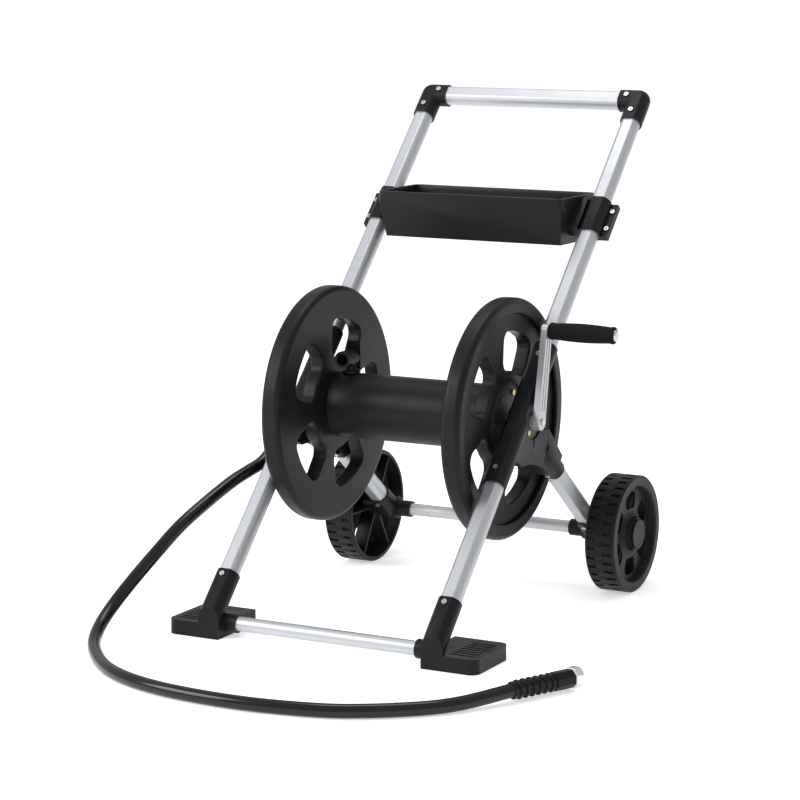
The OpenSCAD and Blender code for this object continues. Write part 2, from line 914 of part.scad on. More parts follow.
// Tail piece pressed into the sleeve, with a stem and a head that the nut turns on
module coupling_tail() {
    color([0.8, 0.78, 0.7]) at_coupling() difference() {
        union() {
            rod_x(nut_shank_r + nut_gap, -hose_end, -nut_l - nut_shank_l - 2);
            rod_x(stem_r, -hose_end, -washer_at);
            rod_x(nut_seat_r - nut_gap, -nut_floor + nut_gap, -washer_at);
        }
        rod_x(tail_bore, -hose_end - 1, 0);
    }
}

module coupling_washer() {
    color([0.55, 0.1, 0.08]) at_coupling()
        ring_x(nut_seat_r - nut_gap, tail_bore, -washer_at, -washer_at + washer_t);
}

module coupling_nut() {
    color([0.8, 0.8, 0.78]) at_coupling() difference() {
        union() {
            intersection() {
                rod_x(nut_r, -nut_l, 0);
                translate([-nut_l, 0, 0]) rotate([0, 90, 0]) rotate([0, 0, 22.5])
                    cylinder(r = nut_r / cos(22.5), h = nut_l, $fn = 8);
            }
            rod_x(nut_shank_r, -nut_l - nut_shank_l, -nut_l);
        }
        rod_x(thread_r, -nut_bore_l, 1);
        rod_x(nut_seat_r, -nut_floor, 1);
        rod_x(stem_r + run_fit, -far, 1);
    }
}

// Reel -----------------------------------------------------------------------------

// A window with round corners between two radii, reaching to either side by an angle;
// its straight sides stay a step inside its corners' tangents, so that edges cross cleanly
module window(r_in, r_out, corner, angle, grow = 0) {
    r0 = r_in + corner;
    r1 = r_out - corner;
    cross_w = corner + grow - edge_step;
    intersection() {
        difference() {
            circle(r = r_out + grow - edge_step);
            circle(r = r_in - grow + edge_step);
        }
        polygon([[0, 0], [far, -far * tan(angle)], [far, far * tan(angle)]]);
    }
    for (side = [-1, 1]) rotate(side * angle) {
        translate([r0, 0]) circle(r = corner + grow);
        translate([r1, 0]) circle(r = corner + grow);
        translate([r0, side > 0 ? 0 : -cross_w]) square([r1 - r0, cross_w]);
    }
}

// Windows are spread round the axis, the first leant back from upright
module window_ring(x0, x1, grow = 0) {
    bar_x(x0, x1) for (i = [0 : windows - 1])
        rotate(180 - window_first + i * 360 / windows)
            window(window_in, window_out, window_corner, window_angle, grow);
}

module flange_body() {
    r = flange_r - rim_r;
    spin_x() {
        polygon(concat(
            [[hub_ring_r - hub_ring_w, web_face], [0, web_face], [0, flange_in],
             [spigot_r - spigot_wall, flange_in], [spigot_r - spigot_wall, flange_in - spigot_l],
             [spigot_r, flange_in - spigot_l], [spigot_r, flange_in]],
            [for (a = [-90 : 15 : 0]) [r + rim_r * cos(a), flange_in + rim_r * (1 + sin(a))]],
            [for (a = [0 : 15 : 90]) [r + rim_r * cos(a), flange_out - rim_r * (1 - sin(a))]],
            [[r - rim_w, flange_out], [r - rim_w, web_face], [hub_ring_r, web_face],
             [hub_ring_r, web_face + hub_ring_h],
             [hub_ring_r - hub_ring_w, web_face + hub_ring_h]]
        ));
    }
}

module flange_hollow() {
    spin_x() translate([shaft_boss_r, flange_in + flange_skin])
        square([flange_r - rim_r - 3 - shaft_boss_r, web_face - flange_in - 2 * flange_skin]);
}

module flange_screw_ring() {
    for (i = [0 : flange_screw_count - 1])
        rotate([flange_screw_first + i * 360 / flange_screw_count, 0, 0]) translate([0, 0, flange_screw_at]) children();
}

module flange(shaft_r) {
    color([0.16, 0.16, 0.18]) at_reel() difference() {
        flange_body();
        difference() {
            flange_hollow();
            window_ring(0, far, flange_skin);
        }
        window_ring(0, far);
        rod_x(shaft_r, 0, far);
        flange_screw_ring() rod_x(flange_screw_d / 2 + tube_fit, 0, far);
    }
}

module drum() {
    color([0.16, 0.16, 0.18]) place() at_reel() difference() {
        union() {
            ring_x(drum_r, drum_r - drum_wall, -flange_in, flange_in);
            for (side = [0, 1]) mirror([side, 0, 0]) flange_screw_ring()
                rod_x(drum_boss_r, flange_in - spigot_l - drum_boss_l, flange_in - spigot_l);
        }
        flange_screw_ring() rod_x(flange_screw_d / 2 + tube_fit, -far, far);
        translate([outlet_x, 0, 0]) cylinder(r = outlet_r + 0.5, h = far);
    }
}

module flange_screws() {
    color([0.72, 0.58, 0.3]) both_sides() at_reel() flange_screw_ring() union() {
        rod_x(flange_screw_head_d / 2, web_face, web_face + flange_screw_head_h);
        rod_x(flange_screw_d / 2, web_face - flange_screw_l - spigot_l, web_face);
    }
}

module water_shaft() {
    color([0.6, 0.61, 0.63]) place() at_reel() difference() {
        union() {
            rod_x(water_shaft_d / 2, -shaft_end, outlet_x);
            translate([outlet_x - block_w / 2, -block_w / 2, -block_w / 2])
                cube([block_w, block_w, block_w]);
        }
        rod_x(water_bore, -far, outlet_x + water_bore);
        translate([outlet_x, 0, 0]) cylinder(r = water_bore, h = far);
    }
}

module outlet_elbow() {
    color([0.1, 0.1, 0.11]) place() at_reel() translate([outlet_x, 0, 0]) difference() {
        union() {
            translate([0, 0, block_w / 2]) cylinder(r = outlet_r, h = outlet_z - block_w / 2);
            translate([0, 0, drum_r + edge_step])
                cylinder(r = outlet_r + outlet_collar_w, h = outlet_collar_h);
            translate([0, 0, outlet_z]) sphere(r = outlet_neck_r);
            translate([0, 0, outlet_z]) rotate([90, 0, 0])
                cylinder(r = outlet_neck_r, h = outlet_neck + 1);
            translate([0, -outlet_neck, outlet_z]) rotate([90, 0, 0])
                cylinder(r = thread_r, h = thread_l);
            translate([-fin_w / 2, fin_at, drum_r + fin_at - 1]) cube([fin_w, fin_t, fin_l]);
        }
        translate([0, 0, -1]) cylinder(r = water_bore, h = outlet_z + 1);
        translate([0, 0, outlet_z]) rotate([90, 0, 0]) cylinder(r = outlet_bore, h = far);
    }
}

module crank_shaft() {
    color([0.6, 0.61, 0.63]) place() at_reel() union() {
        rod_x(crank_shaft_d / 2, flange_in - shaft_head, crank_out - crank_floor);
        rod_x(shaft_head_r, flange_in - shaft_head, flange_in);
    }
}

// Crank, drawn straight up and then leant back to its place of rest
module at_crank() {
    place() at_reel() rotate([-crank_rest, 0, 0]) children();
}

module crank_outline() {
    circle(r = crank_boss_r);
    translate([0, crank_l]) circle(r = crank_tip_r);
    polygon([
        [crank_boss_r - crank_waist, 0], [crank_tip_r - crank_waist, crank_l],
        [crank_waist - crank_tip_r, crank_l], [crank_waist - crank_boss_r, 0]
    ]);
}

module crank_arm() {
    color([0.78, 0.8, 0.82]) at_crank() difference() {
        union() {
            side_plate(crank_in, crank_out) crank_outline();
            rod_x(crank_boss_r - 0.6, tube_x + bush_out + run_gap, crank_in + 1);
        }
        rod_x(crank_shaft_d / 2 + tube_fit, 0, crank_out - crank_floor);
        rod_x(crank_screw_r + tube_fit, 0, far);
        translate([0, 0, crank_l]) rod_x(grip_bolt_r + tube_fit, 0, far);
        for (side = [-1, 1])
            translate([crank_out - crank_groove_d, side * crank_groove_at - crank_groove_w / 2,
                       crank_boss_r + crank_groove_end])
                cube([far, crank_groove_w,
                      crank_l - crank_boss_r - crank_tip_r - 2 * crank_groove_end]);
    }
}

module crank_screw() {
    color([0.75, 0.76, 0.77]) at_crank() union() {
        rod_x(crank_screw_head_r, crank_out, crank_out + crank_screw_head);
        rod_x(crank_screw_r, crank_out - crank_floor, crank_out);
    }
}

module grip_bolt() {
    color([0.8, 0.81, 0.82]) at_crank() translate([0, 0, crank_l]) union() {
        rod_x(grip_bolt_r, crank_in, grip_out + grip_gap);
        rod_x(grip_shoulder_r, crank_out, grip_in - grip_gap);
        rod_x(grip_cap_r, grip_out + grip_gap, grip_out + grip_cap_h);
    }
}

// Barrel between two end collars, as radii along the grip
module grip_outline() {
    steps = 16;
    collar_r = grip_end_r + grip_collar_h;
    polygon(concat(
        [[grip_bolt_r + run_fit, grip_in], [grip_end_r, grip_in],
         [collar_r, grip_in + grip_collar_edge], [collar_r, grip_in + grip_collar]],
        [for (i = [0 : steps])
            [grip_end_r + (grip_mid_r - grip_end_r) * sin(180 * i / steps),
             grip_in + grip_barrel_in + (grip_l - 2 * grip_barrel_in) * i / steps]],
        [[collar_r, grip_out - grip_collar], [collar_r, grip_out - grip_collar_edge],
         [grip_end_r, grip_out], [grip_bolt_r + run_fit, grip_out]]
    ));
}

module crank_grip() {
    color([0.08, 0.08, 0.09]) at_crank() translate([0, 0, crank_l]) spin_x() grip_outline();
}

// Wheels ---------------------------------------------------------------------------

module wheel_outline() {
    hub_bore = axle_r + run_fit;
    dish = wheel_out - lip_depth;
    lip_r = wheel_r - lip_t;
    hub_floor = axle_end - clip_t - clip_gap;
    polygon([
        [hub_bore, wheel_in], [hub_r_in, wheel_in], [hub_r_in, dish - dish_t],
        [lip_r + 1, dish - dish_t], [wheel_r - band_t, dish - dish_t - band_slope],
        [wheel_r - band_t, wheel_in], [wheel_r - tread_edge, wheel_in],
        [wheel_r, wheel_in + tread_edge], [wheel_r, wheel_out - tread_edge],
        [wheel_r - tread_edge, wheel_out], [lip_r + tread_edge, wheel_out],
        [lip_r, wheel_out - tread_edge], [lip_r - 3, dish], [hub_cone_r, dish],
        [hub_cap_r + hub_cone_h, dish + hub_cone_h], [hub_cap_r + 2, wheel_out],
        [hub_r_out, wheel_out], [hub_r_out, hub_floor], [hub_bore, hub_floor]
    ]);
}

module wheel() {
    color([0.1, 0.1, 0.1]) at_axle() difference() {
        union() {
            spin_x() wheel_outline();
            for (i = [0 : 5]) rotate([30 + i * 60, 0, 0])
                translate([wheel_in + tread_edge, -rib_t / 2, rib_in])
                    cube([wheel_w / 2, rib_t, wheel_r - rib_in - notch_depth - 1]);
        }
        bar_x(0, far) for (i = [0 : wheel_holes - 1])
            rotate(180 + i * 360 / wheel_holes)
                window(wheel_hole_in, wheel_hole_out, wheel_hole_corner, wheel_hole_angle);
        for (i = [0 : notches - 1]) {
            rotate([i * 360 / notches, 0, 0])
                translate([wheel_out - notch_margin - notch_row_out, -notch_w / 2,
                           wheel_r - notch_depth])
                    cube([notch_row_out, notch_w, notch_depth + 1]);
            rotate([(i + 0.5) * 360 / notches, 0, 0])
                translate([wheel_in + notch_margin, -notch_w / 2, wheel_r - notch_depth])
                    cube([notch_row_in, notch_w, notch_depth + 1]);
        }
    }
}

module wheel_cap() {
    color([0.15, 0.15, 0.16]) at_axle() union() {
        rod_x(hub_cap_r, wheel_out, wheel_out + cap_proud);
        ring_x(hub_r_out - clip_gap, hub_r_out - band_t / 2, wheel_out - cap_proud, wheel_out);
    }
}

module axle_clip() {
    color([0.75, 0.76, 0.77]) at_axle()
        ring_x(clip_r, axle_r, axle_end - clip_t, axle_end);
}

place() left() foot();  // foot_left
place() foot();  // foot_right
front_crossbar();
place() left() lower_tube();  // lower_tube_left
place() lower_tube();  // lower_tube_right
place() left() upper_tube();  // upper_tube_left
place() upper_tube();  // upper_tube_right
handle_bar();
place() left() corner();  // corner_left
place() corner();  // corner_right
place() left() side_bracket(water_shaft_d / 2 + bush_wall);  // side_bracket_left
place() side_bracket(crank_shaft_d / 2 + bush_wall);  // side_bracket_right
place() left() rear_leg();  // rear_leg_left
place() rear_leg();  // rear_leg_right
place() left() rear_bracket();  // rear_bracket_left
place() rear_bracket();  // rear_bracket_right
rear_crossbar();
wheel_axle();
axle_washers();
tray();
place() left() clamp_plate();  // clamp_plate_left
place() clamp_plate();  // clamp_plate_right
clamp_screws();
corner_screws();
foot_screws();
bracket_screws();
leg_screws();
place() left() bush(water_shaft_d);  // bush_left
place() bush(crank_shaft_d);  // bush_right
bush_screws();
inlet_elbow();
inlet_seals();
inlet_sleeve();
leader_hose();
hose_sleeve();
coupling_tail();
coupling_washer();
coupling_nut();
place() left() flange(water_shaft_d / 2);  // flange_left
place() flange(crank_shaft_d / 2);  // flange_right
drum();
flange_screws();
water_shaft();
outlet_elbow();
crank_shaft();
crank_arm();
crank_screw();
grip_bolt();
crank_grip();
place() left() wheel();  // wheel_left
place() wheel();  // wheel_right
place() left() wheel_cap();  // wheel_cap_left
place() wheel_cap();  // wheel_cap_right
place() left() axle_clip();  // axle_clip_left
place() axle_clip();  // axle_clip_right
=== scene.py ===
"""Garden hose reel cart: the looks of every piece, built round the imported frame."""

import json
from math import atan2, cos, pi, radians, sin, sqrt, tau

import bmesh
import bpy
from bpy.props import FloatProperty, FloatVectorProperty, PointerProperty
from mathutils import Matrix, Vector

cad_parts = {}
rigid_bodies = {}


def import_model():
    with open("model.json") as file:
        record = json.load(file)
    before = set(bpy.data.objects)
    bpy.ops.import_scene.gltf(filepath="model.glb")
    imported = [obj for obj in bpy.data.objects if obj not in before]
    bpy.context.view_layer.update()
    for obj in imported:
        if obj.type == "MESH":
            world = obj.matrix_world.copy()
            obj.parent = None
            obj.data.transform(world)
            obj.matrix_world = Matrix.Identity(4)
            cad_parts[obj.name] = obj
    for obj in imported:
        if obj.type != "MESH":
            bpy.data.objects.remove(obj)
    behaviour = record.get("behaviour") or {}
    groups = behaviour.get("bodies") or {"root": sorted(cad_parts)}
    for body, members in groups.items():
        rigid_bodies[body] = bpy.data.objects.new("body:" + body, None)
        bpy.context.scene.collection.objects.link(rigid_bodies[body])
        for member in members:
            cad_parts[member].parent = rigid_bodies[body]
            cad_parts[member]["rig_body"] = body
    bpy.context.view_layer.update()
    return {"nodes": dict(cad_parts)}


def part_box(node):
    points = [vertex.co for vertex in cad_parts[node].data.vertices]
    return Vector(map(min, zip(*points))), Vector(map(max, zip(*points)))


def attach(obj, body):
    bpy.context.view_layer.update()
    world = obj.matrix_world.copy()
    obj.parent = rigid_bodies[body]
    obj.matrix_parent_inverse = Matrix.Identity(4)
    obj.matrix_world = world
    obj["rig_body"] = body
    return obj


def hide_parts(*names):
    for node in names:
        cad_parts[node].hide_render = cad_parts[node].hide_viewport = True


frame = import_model()

bl_info = {
    "name": "Garden hose reel cart",
    "version": (1, 0, 0),
    "blender": (4, 5, 0),
    "location": "3D View > Sidebar > Hose cart",
    "description": "Builds the pieces, finishes and studio of a garden hose reel cart",
    "category": "Object",
}

# Where the cart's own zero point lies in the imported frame: the middle plane between the
# side tubes, the floor point of the side tubes' faces, and the floor
CART_ZERO = Vector((-0.032, -0.417, 0.0))


def length(text, size, low=0.0):
    """A size in metres that a user may change."""
    return FloatProperty(
        name=text, description=text, default=size, min=low, unit="LENGTH", precision=4
    )


def angle(text, degrees):
    """An angle that a user may change."""
    return FloatProperty(name=text, description=text, default=radians(degrees), subtype="ANGLE")


def colour(text, rgb):
    """A finish's base colour that a user may change."""
    return FloatVectorProperty(
        name=text, description=text, default=rgb, size=3, min=0.0, max=1.0, subtype="COLOR"
    )


class CartSizes(bpy.types.PropertyGroup):
    """Sizes of the cart's pieces."""

    half_track: length("Half the distance between the side tubes", 0.188)
    tube_lean: angle("Lean of the side tubes from upright", 44.3)
    leg_lean: angle("Lean of the rear legs from upright", 52.0)
    tube_width: length("Diameter of the round part of the frame tubes", 0.031)
    tube_flat: length("Width of the flat along the frame tubes", 0.0155)
    handle_up: length("Distance up the side tubes to the handle bar", 1.094)
    flange_diameter: length("Diameter of the reel flanges", 0.37)
    drum_diameter: length("Diameter of the drum", 0.103)
    crank_radius: length("Distance from the reel axis to the grip axis", 0.138)
    crank_rest: angle("Lean of the crank at rest", 10.0)
    hose_diameter: length("Diameter of the leader hose", 0.021)


class CartFinishes(bpy.types.PropertyGroup):
    """Base colours of the cart's finishes."""

    silver: colour("Anodised tube", (0.53, 0.545, 0.57))
    moulding: colour("Frame mouldings", (0.0085, 0.0085, 0.0105))
    reel: colour("Reel mouldings", (0.0095, 0.0095, 0.012))
    tray: colour("Tray", (0.010, 0.0085, 0.009))
    wheel: colour("Wheels", (0.010, 0.009, 0.0095))
    hose: colour("Hose", (0.006, 0.006, 0.008))
    rubber: colour("Ribbed rubber", (0.006, 0.006, 0.007))
    zinc: colour("Zinc plate", (0.62, 0.62, 0.63))
    brass: colour("Brass", (0.62, 0.45, 0.20))
    nickel: colour("Nickel", (0.80, 0.79, 0.77))
    chrome: colour("Polished cap", (0.55, 0.60, 0.66))
    nylon: colour("Bearing bushes", (0.05, 0.05, 0.05))
    floor: colour("Studio floor", (0.95, 0.95, 0.95))


def sizes():
    return bpy.context.scene.cart_sizes


def finishes():
    return bpy.context.scene.cart_finishes


# Places ---------------------------------------------------------------------------------
# Pieces are drawn in millimetres in the cart's own space, whose X runs to the crank side,
# Y to the back and Z up. Its zero is the middle of the cart at the side tubes' floor point.


def mm(metres):
    return metres * 1000.0


def cart_space():
    """From the cart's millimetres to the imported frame's metres."""
    return Matrix.Translation(CART_ZERO) @ Matrix.Scale(0.001, 4)


def at(x=0.0, y=0.0, z=0.0):
    return Matrix.Translation((x, y, z))


def turned(degrees, axis="X"):
    return Matrix.Rotation(radians(degrees), 4, axis)


def middle(node):
    """The middle of a node's box, in the cart's millimetres."""
    lo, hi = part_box(node)
    return cart_space().inverted() @ ((lo + hi) / 2)


def along_side_tube():
    """Z up the right side tube from the floor, Y back from its flat face, X from its middle."""
    s = sizes()
    return at(mm(s.half_track)) @ Matrix.Rotation(-s.tube_lean, 4, "X")


def along_leg():
    """Z up the right rear leg from the axle, Y back from its middle."""
    s = sizes()
    axle = middle("wheel_axle")
    return at(mm(s.half_track), axle.y, axle.z) @ Matrix.Rotation(s.leg_lean, 4, "X")


def at_reel():
    return Matrix.Translation(middle("drum"))


def at_crank():
    return at_reel() @ Matrix.Rotation(-sizes().crank_rest, 4, "X")


# Shaping ----------------------------------------------------------------------------------


def ring_of(bm, points, closed=True):
    """A loop of edges through points."""
    verts = [bm.verts.new(p) for p in points]
    pairs = list(zip(verts, verts[1:])) + ([(verts[-1], verts[0])] if closed else [])
    return [bm.edges.new(pair) for pair in pairs]


def lathe(bm, profile, steps=96, closed=True):
    """A shape turned about X from a profile of (x, radius) points."""
    edges = ring_of(bm, [(x, 0.0, r) for x, r in profile], closed)
    verts = list({v for e in edges for v in e.verts})
    bmesh.ops.spin(bm, geom=verts + edges, cent=(0, 0, 0), axis=(1, 0, 0), angle=tau, steps=steps,
                   use_merge=True)
    bmesh.ops.remove_doubles(bm, verts=bm.verts, dist=1e-4)


def drawn_out(bm, face, way):
    """Extrudes a face into a closed bar and returns its new vertices."""
    bmesh.ops.recalc_face_normals(bm, faces=[face])
    made = bmesh.ops.extrude_face_region(bm, geom=[face], use_keep_orig=True)
    top = [v for v in made["geom"] if isinstance(v, bmesh.types.BMVert)]
    bmesh.ops.translate(bm, vec=Vector(way), verts=top)
    return top


def soften(bm, width, segments=2, over=30.0):
    """Rounds every edge that turns by more than an angle."""
    picked = [
        e
        for e in bm.edges
        if len(e.link_faces) == 2 and e.calc_face_angle(0.0) > radians(over)
    ]
    if picked:
        bmesh.ops.bevel(
            bm, geom=picked, offset=width, offset_type="OFFSET", affect="EDGES", segments=segments,
            profile=0.5, material=-1, clamp_overlap=True, miter_outer="ARC", loop_slide=True,
        )


def tidy_shell(bm):
    bmesh.ops.remove_doubles(bm, verts=bm.verts, dist=1e-6)
    bmesh.ops.recalc_face_normals(bm, faces=bm.faces)


def placed(bm, where=None, mirrored=False):
    """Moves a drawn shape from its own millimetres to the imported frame."""
    if where is not None:
        bmesh.ops.transform(bm, matrix=where, verts=bm.verts)
    if mirrored:
        bmesh.ops.scale(bm, vec=(-1, 1, 1), verts=bm.verts)
    bmesh.ops.transform(bm, matrix=cart_space(), verts=bm.verts)
    return bm


def make_piece(name, bm, finish, body, stands_for, sharp):
    """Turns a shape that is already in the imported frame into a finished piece."""
    tidy_shell(bm)
    mesh = bpy.data.meshes.new(name)
    bm.to_mesh(mesh)
    bm.free()
    mesh.shade_smooth()
    mesh.set_sharp_from_angle(angle=radians(sharp))
    mesh.materials.append(finish)
    piece = bpy.data.objects.new(name, mesh)
    bpy.context.scene.collection.objects.link(piece)
    even = piece.modifiers.new("Even shading", "WEIGHTED_NORMAL")
    even.weight = 80
    even.keep_sharp = True
    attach(piece, body)
    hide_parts(*stands_for)
    return piece


def body_of_node(node):
    return frame["nodes"][node]["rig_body"]


def softened_copy(node, width, finish, segments=2, over=28.0):
    """A CAD node's shape with the rounded edges of a moulding, in place of the node."""
    bm = bmesh.new()
    bm.from_mesh(frame["nodes"][node].data)
    bmesh.ops.remove_doubles(bm, verts=bm.verts, dist=1e-5)
    bmesh.ops.dissolve_limit(bm, angle_limit=radians(0.8), verts=bm.verts, edges=bm.edges)
    bmesh.ops.recalc_face_normals(bm, faces=bm.faces)
    mesh = bpy.data.meshes.new(node + "_moulding")
    bm.to_mesh(mesh)
    bm.free()
    mesh.shade_smooth()
    mesh.set_sharp_from_angle(angle=radians(35))
    mesh.materials.append(finish)
    piece = bpy.data.objects.new(node + "_moulding", mesh)
    bpy.context.scene.collection.objects.link(piece)
    soft = piece.modifiers.new("Rounded edges", "BEVEL")
    soft.width = width * 0.001
    soft.segments = segments
    soft.limit_method = "ANGLE"
    soft.angle_limit = radians(over)
    soft.use_clamp_overlap = True
    soft.harden_normals = True
    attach(piece, body_of_node(node))
    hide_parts(node)
    return piece


# Finishes ---------------------------------------------------------------------------------


def new_group(name, inputs, outputs):
    """A shader node group with float, colour and vector sockets."""
    group = bpy.data.node_groups.new(name, "ShaderNodeTree")
    kinds = {"float": "NodeSocketFloat", "colour": "NodeSocketColor", "vector": "NodeSocketVector"}
    for socket, kind, value in inputs:
        made = group.interface.new_socket(socket, in_out="INPUT", socket_type=kinds[kind])
        if value is not None:
            made.default_value = value
    for socket, kind in outputs:
        group.interface.new_socket(socket, in_out="OUTPUT", socket_type=kinds[kind])
    return group, group.nodes.new("NodeGroupInput"), group.nodes.new("NodeGroupOutput")


def add(nodes, kind, **settings):
    node = nodes.new(kind)
    for key, value in settings.items():
        setattr(node, key, value)
    return node


def sum_node(tree, operation, first, second, clamp=False):
    """A maths node whose two inputs are links or plain numbers."""
    node = add(tree.nodes, "ShaderNodeMath", operation=operation, use_clamp=clamp)
    for socket, value in zip(node.inputs, (first, second)):
        if isinstance(value, (int, float)):
            socket.default_value = value
        else:
            tree.links.new(value, socket)
    return node.outputs[0]


def noise(tree, vector, scale, detail=3.0, rough=0.55):
    node = add(tree.nodes, "ShaderNodeTexNoise")
    tree.links.new(vector, node.inputs["Vector"])
    if isinstance(scale, (int, float)):
        node.inputs["Scale"].default_value = scale
    else:
        tree.links.new(scale, node.inputs["Scale"])
    node.inputs["Detail"].default_value = detail
    node.inputs["Roughness"].default_value = rough
    return node.outputs["Fac"]


def spread(tree, value, low, high, to_low=0.0, to_high=1.0):
    node = add(tree.nodes, "ShaderNodeMapRange")
    tree.links.new(value, node.inputs["Value"])
    keys = ("From Min", "From Max", "To Min", "To Max")
    for key, number in zip(keys, (low, high, to_low, to_high)):
        if isinstance(number, (int, float)):
            node.inputs[key].default_value = number
        else:
            tree.links.new(number, node.inputs[key])
    return node.outputs["Result"]


def mixed(tree, share, first, second):
    node = add(tree.nodes, "ShaderNodeMix", data_type="RGBA")
    tree.links.new(share, node.inputs["Factor"])
    tree.links.new(first, node.inputs["A"])
    tree.links.new(second, node.inputs["B"])
    return node.outputs["Result"]


def moulded_group():
    """Moulded plastic: a fine spark grain, a little roughness change, and paler edges that are
    partly worn plastic and partly a painted highlight.
    """
    name = "Moulded skin"
    if name in bpy.data.node_groups:
        return bpy.data.node_groups[name]
    group, given, out = new_group(
        name,
        [
            ("Colour", "colour", (0.02, 0.02, 0.02, 1)),
            ("Worn and highlit edge colour", "colour", (0.10, 0.10, 0.10, 1)),
            ("Roughness", "float", 0.45),
            ("Grain size", "float", 700.0),
            ("Worn and highlit edges", "float", 0.5),
            ("Worn and highlit edge width", "float", 0.0012),
        ],
        [("Colour", "colour"), ("Roughness", "float"), ("Height", "float")],
    )
    where = add(group.nodes, "ShaderNodeTexCoord").outputs["Object"]
    grain = noise(group, where, given.outputs["Grain size"], 2.0, 0.6)
    cloud = noise(group, where, 9.0, 3.0, 0.5)
    patch = noise(group, where, 60.0, 4.0, 0.65)
    rounded = add(group.nodes, "ShaderNodeBevel", samples=4)
    group.links.new(given.outputs["Worn and highlit edge width"], rounded.inputs["Radius"])
    true_normal = add(group.nodes, "ShaderNodeNewGeometry").outputs["Normal"]
    facing = add(group.nodes, "ShaderNodeVectorMath", operation="DOT_PRODUCT")
    group.links.new(rounded.outputs[0], facing.inputs[0])
    group.links.new(true_normal, facing.inputs[1])
    # Paler colour along the rounded edges: partly worn plastic, partly a painted highlight
    edge = spread(group, sum_node(group, "SUBTRACT", 1.0, facing.outputs["Value"]), 0.01, 0.12)
    worn_and_highlit = sum_node(group, "MULTIPLY", edge, spread(group, patch, 0.35, 0.65, 0.35, 1.0))
    worn_and_highlit = sum_node(group, "MULTIPLY", worn_and_highlit, given.outputs["Worn and highlit edges"], True)
    colour = mixed(group, worn_and_highlit, given.outputs["Colour"], given.outputs["Worn and highlit edge colour"])
    group.links.new(colour, out.inputs["Colour"])
    sheen = spread(group, cloud, 0.3, 0.7, -0.04, 0.04)
    sheen = sum_node(group, "ADD", given.outputs["Roughness"], sheen)
    sheen = sum_node(group, "ADD", sheen, spread(group, patch, 0.3, 0.7, -0.03, 0.03), True)
    group.links.new(sheen, out.inputs["Roughness"])
    group.links.new(grain, out.inputs["Height"])
    return group


def brushed_group():
    """Drawn and anodised metal: faint lines along the length and a soft change of sheen."""
    name = "Drawn metal"
    if name in bpy.data.node_groups:
        return bpy.data.node_groups[name]
    group, given, out = new_group(
        name,
        [
            ("Vector", "vector", None),
            ("Colour", "colour", (0.8, 0.8, 0.8, 1)),
            ("Shade", "colour", (0.6, 0.6, 0.6, 1)),
            ("Roughness", "float", 0.35),
            ("Lines", "float", 1.0),
        ],
        [("Colour", "colour"), ("Roughness", "float"), ("Height", "float")],
    )
    lines = noise(group, given.outputs["Vector"], 1.0, 2.0, 0.5)
    where = add(group.nodes, "ShaderNodeTexCoord").outputs["Object"]
    cloud = noise(group, where, 14.0, 3.0, 0.55)
    share = spread(group, lines, 0.35, 0.65, 0.0, 0.22)
    share = sum_node(group, "MULTIPLY", share, given.outputs["Lines"])
    share = sum_node(group, "ADD", share, spread(group, cloud, 0.3, 0.7, 0.0, 0.12), True)
    colour = mixed(group, share, given.outputs["Colour"], given.outputs["Shade"])
    group.links.new(colour, out.inputs["Colour"])
    sheen = spread(group, lines, 0.3, 0.7, -0.04, 0.04)
    sheen = sum_node(group, "ADD", given.outputs["Roughness"], sheen)
    sheen = sum_node(group, "ADD", sheen, spread(group, cloud, 0.3, 0.7, -0.03, 0.03), True)
    group.links.new(sheen, out.inputs["Roughness"])
    group.links.new(lines, out.inputs["Height"])
    return group


def shader(name):
    """An empty material with its shader, or the one of that name with None."""
    if name in bpy.data.materials:
        return bpy.data.materials[name], None
    material = bpy.data.materials.new(name)
    material.use_nodes = True
    return material, material.node_tree.nodes["Principled BSDF"]


def moulded(
    name, base, roughness, edge_wear_and_highlight_colour, edge_wear_and_highlight=0.5, grain=700.0, depth=0.00004, edge_wear_and_highlight_width=0.0012, shine=0.17
):
    material, skin = shader(name)
    if skin is None:
        return material
    tree = material.node_tree
    group = add(tree.nodes, "ShaderNodeGroup", node_tree=moulded_group())
    group.inputs["Colour"].default_value = (*base, 1)
    # The paler edge colour is partly wear and partly a painted highlight
    group.inputs["Worn and highlit edge colour"].default_value = (*edge_wear_and_highlight_colour, 1)
    group.inputs["Roughness"].default_value = roughness
    group.inputs["Grain size"].default_value = grain
    group.inputs["Worn and highlit edges"].default_value = edge_wear_and_highlight
    group.inputs["Worn and highlit edge width"].default_value = edge_wear_and_highlight_width
    skin.inputs["Specular IOR Level"].default_value = shine
    connect(tree, group, skin, depth)
    return material


def connect(tree, group, skin, depth):
    """Links a group's colour, roughness and height to the shader."""
    tree.links.new(group.outputs["Colour"], skin.inputs["Base Color"])
    tree.links.new(group.outputs["Roughness"], skin.inputs["Roughness"])
    bump = add(tree.nodes, "ShaderNodeBump")
    bump.inputs["Strength"].default_value = 0.6
    bump.inputs["Distance"].default_value = depth
    tree.links.new(group.outputs["Height"], bump.inputs["Height"])
    tree.links.new(bump.outputs["Normal"], skin.inputs["Normal"])


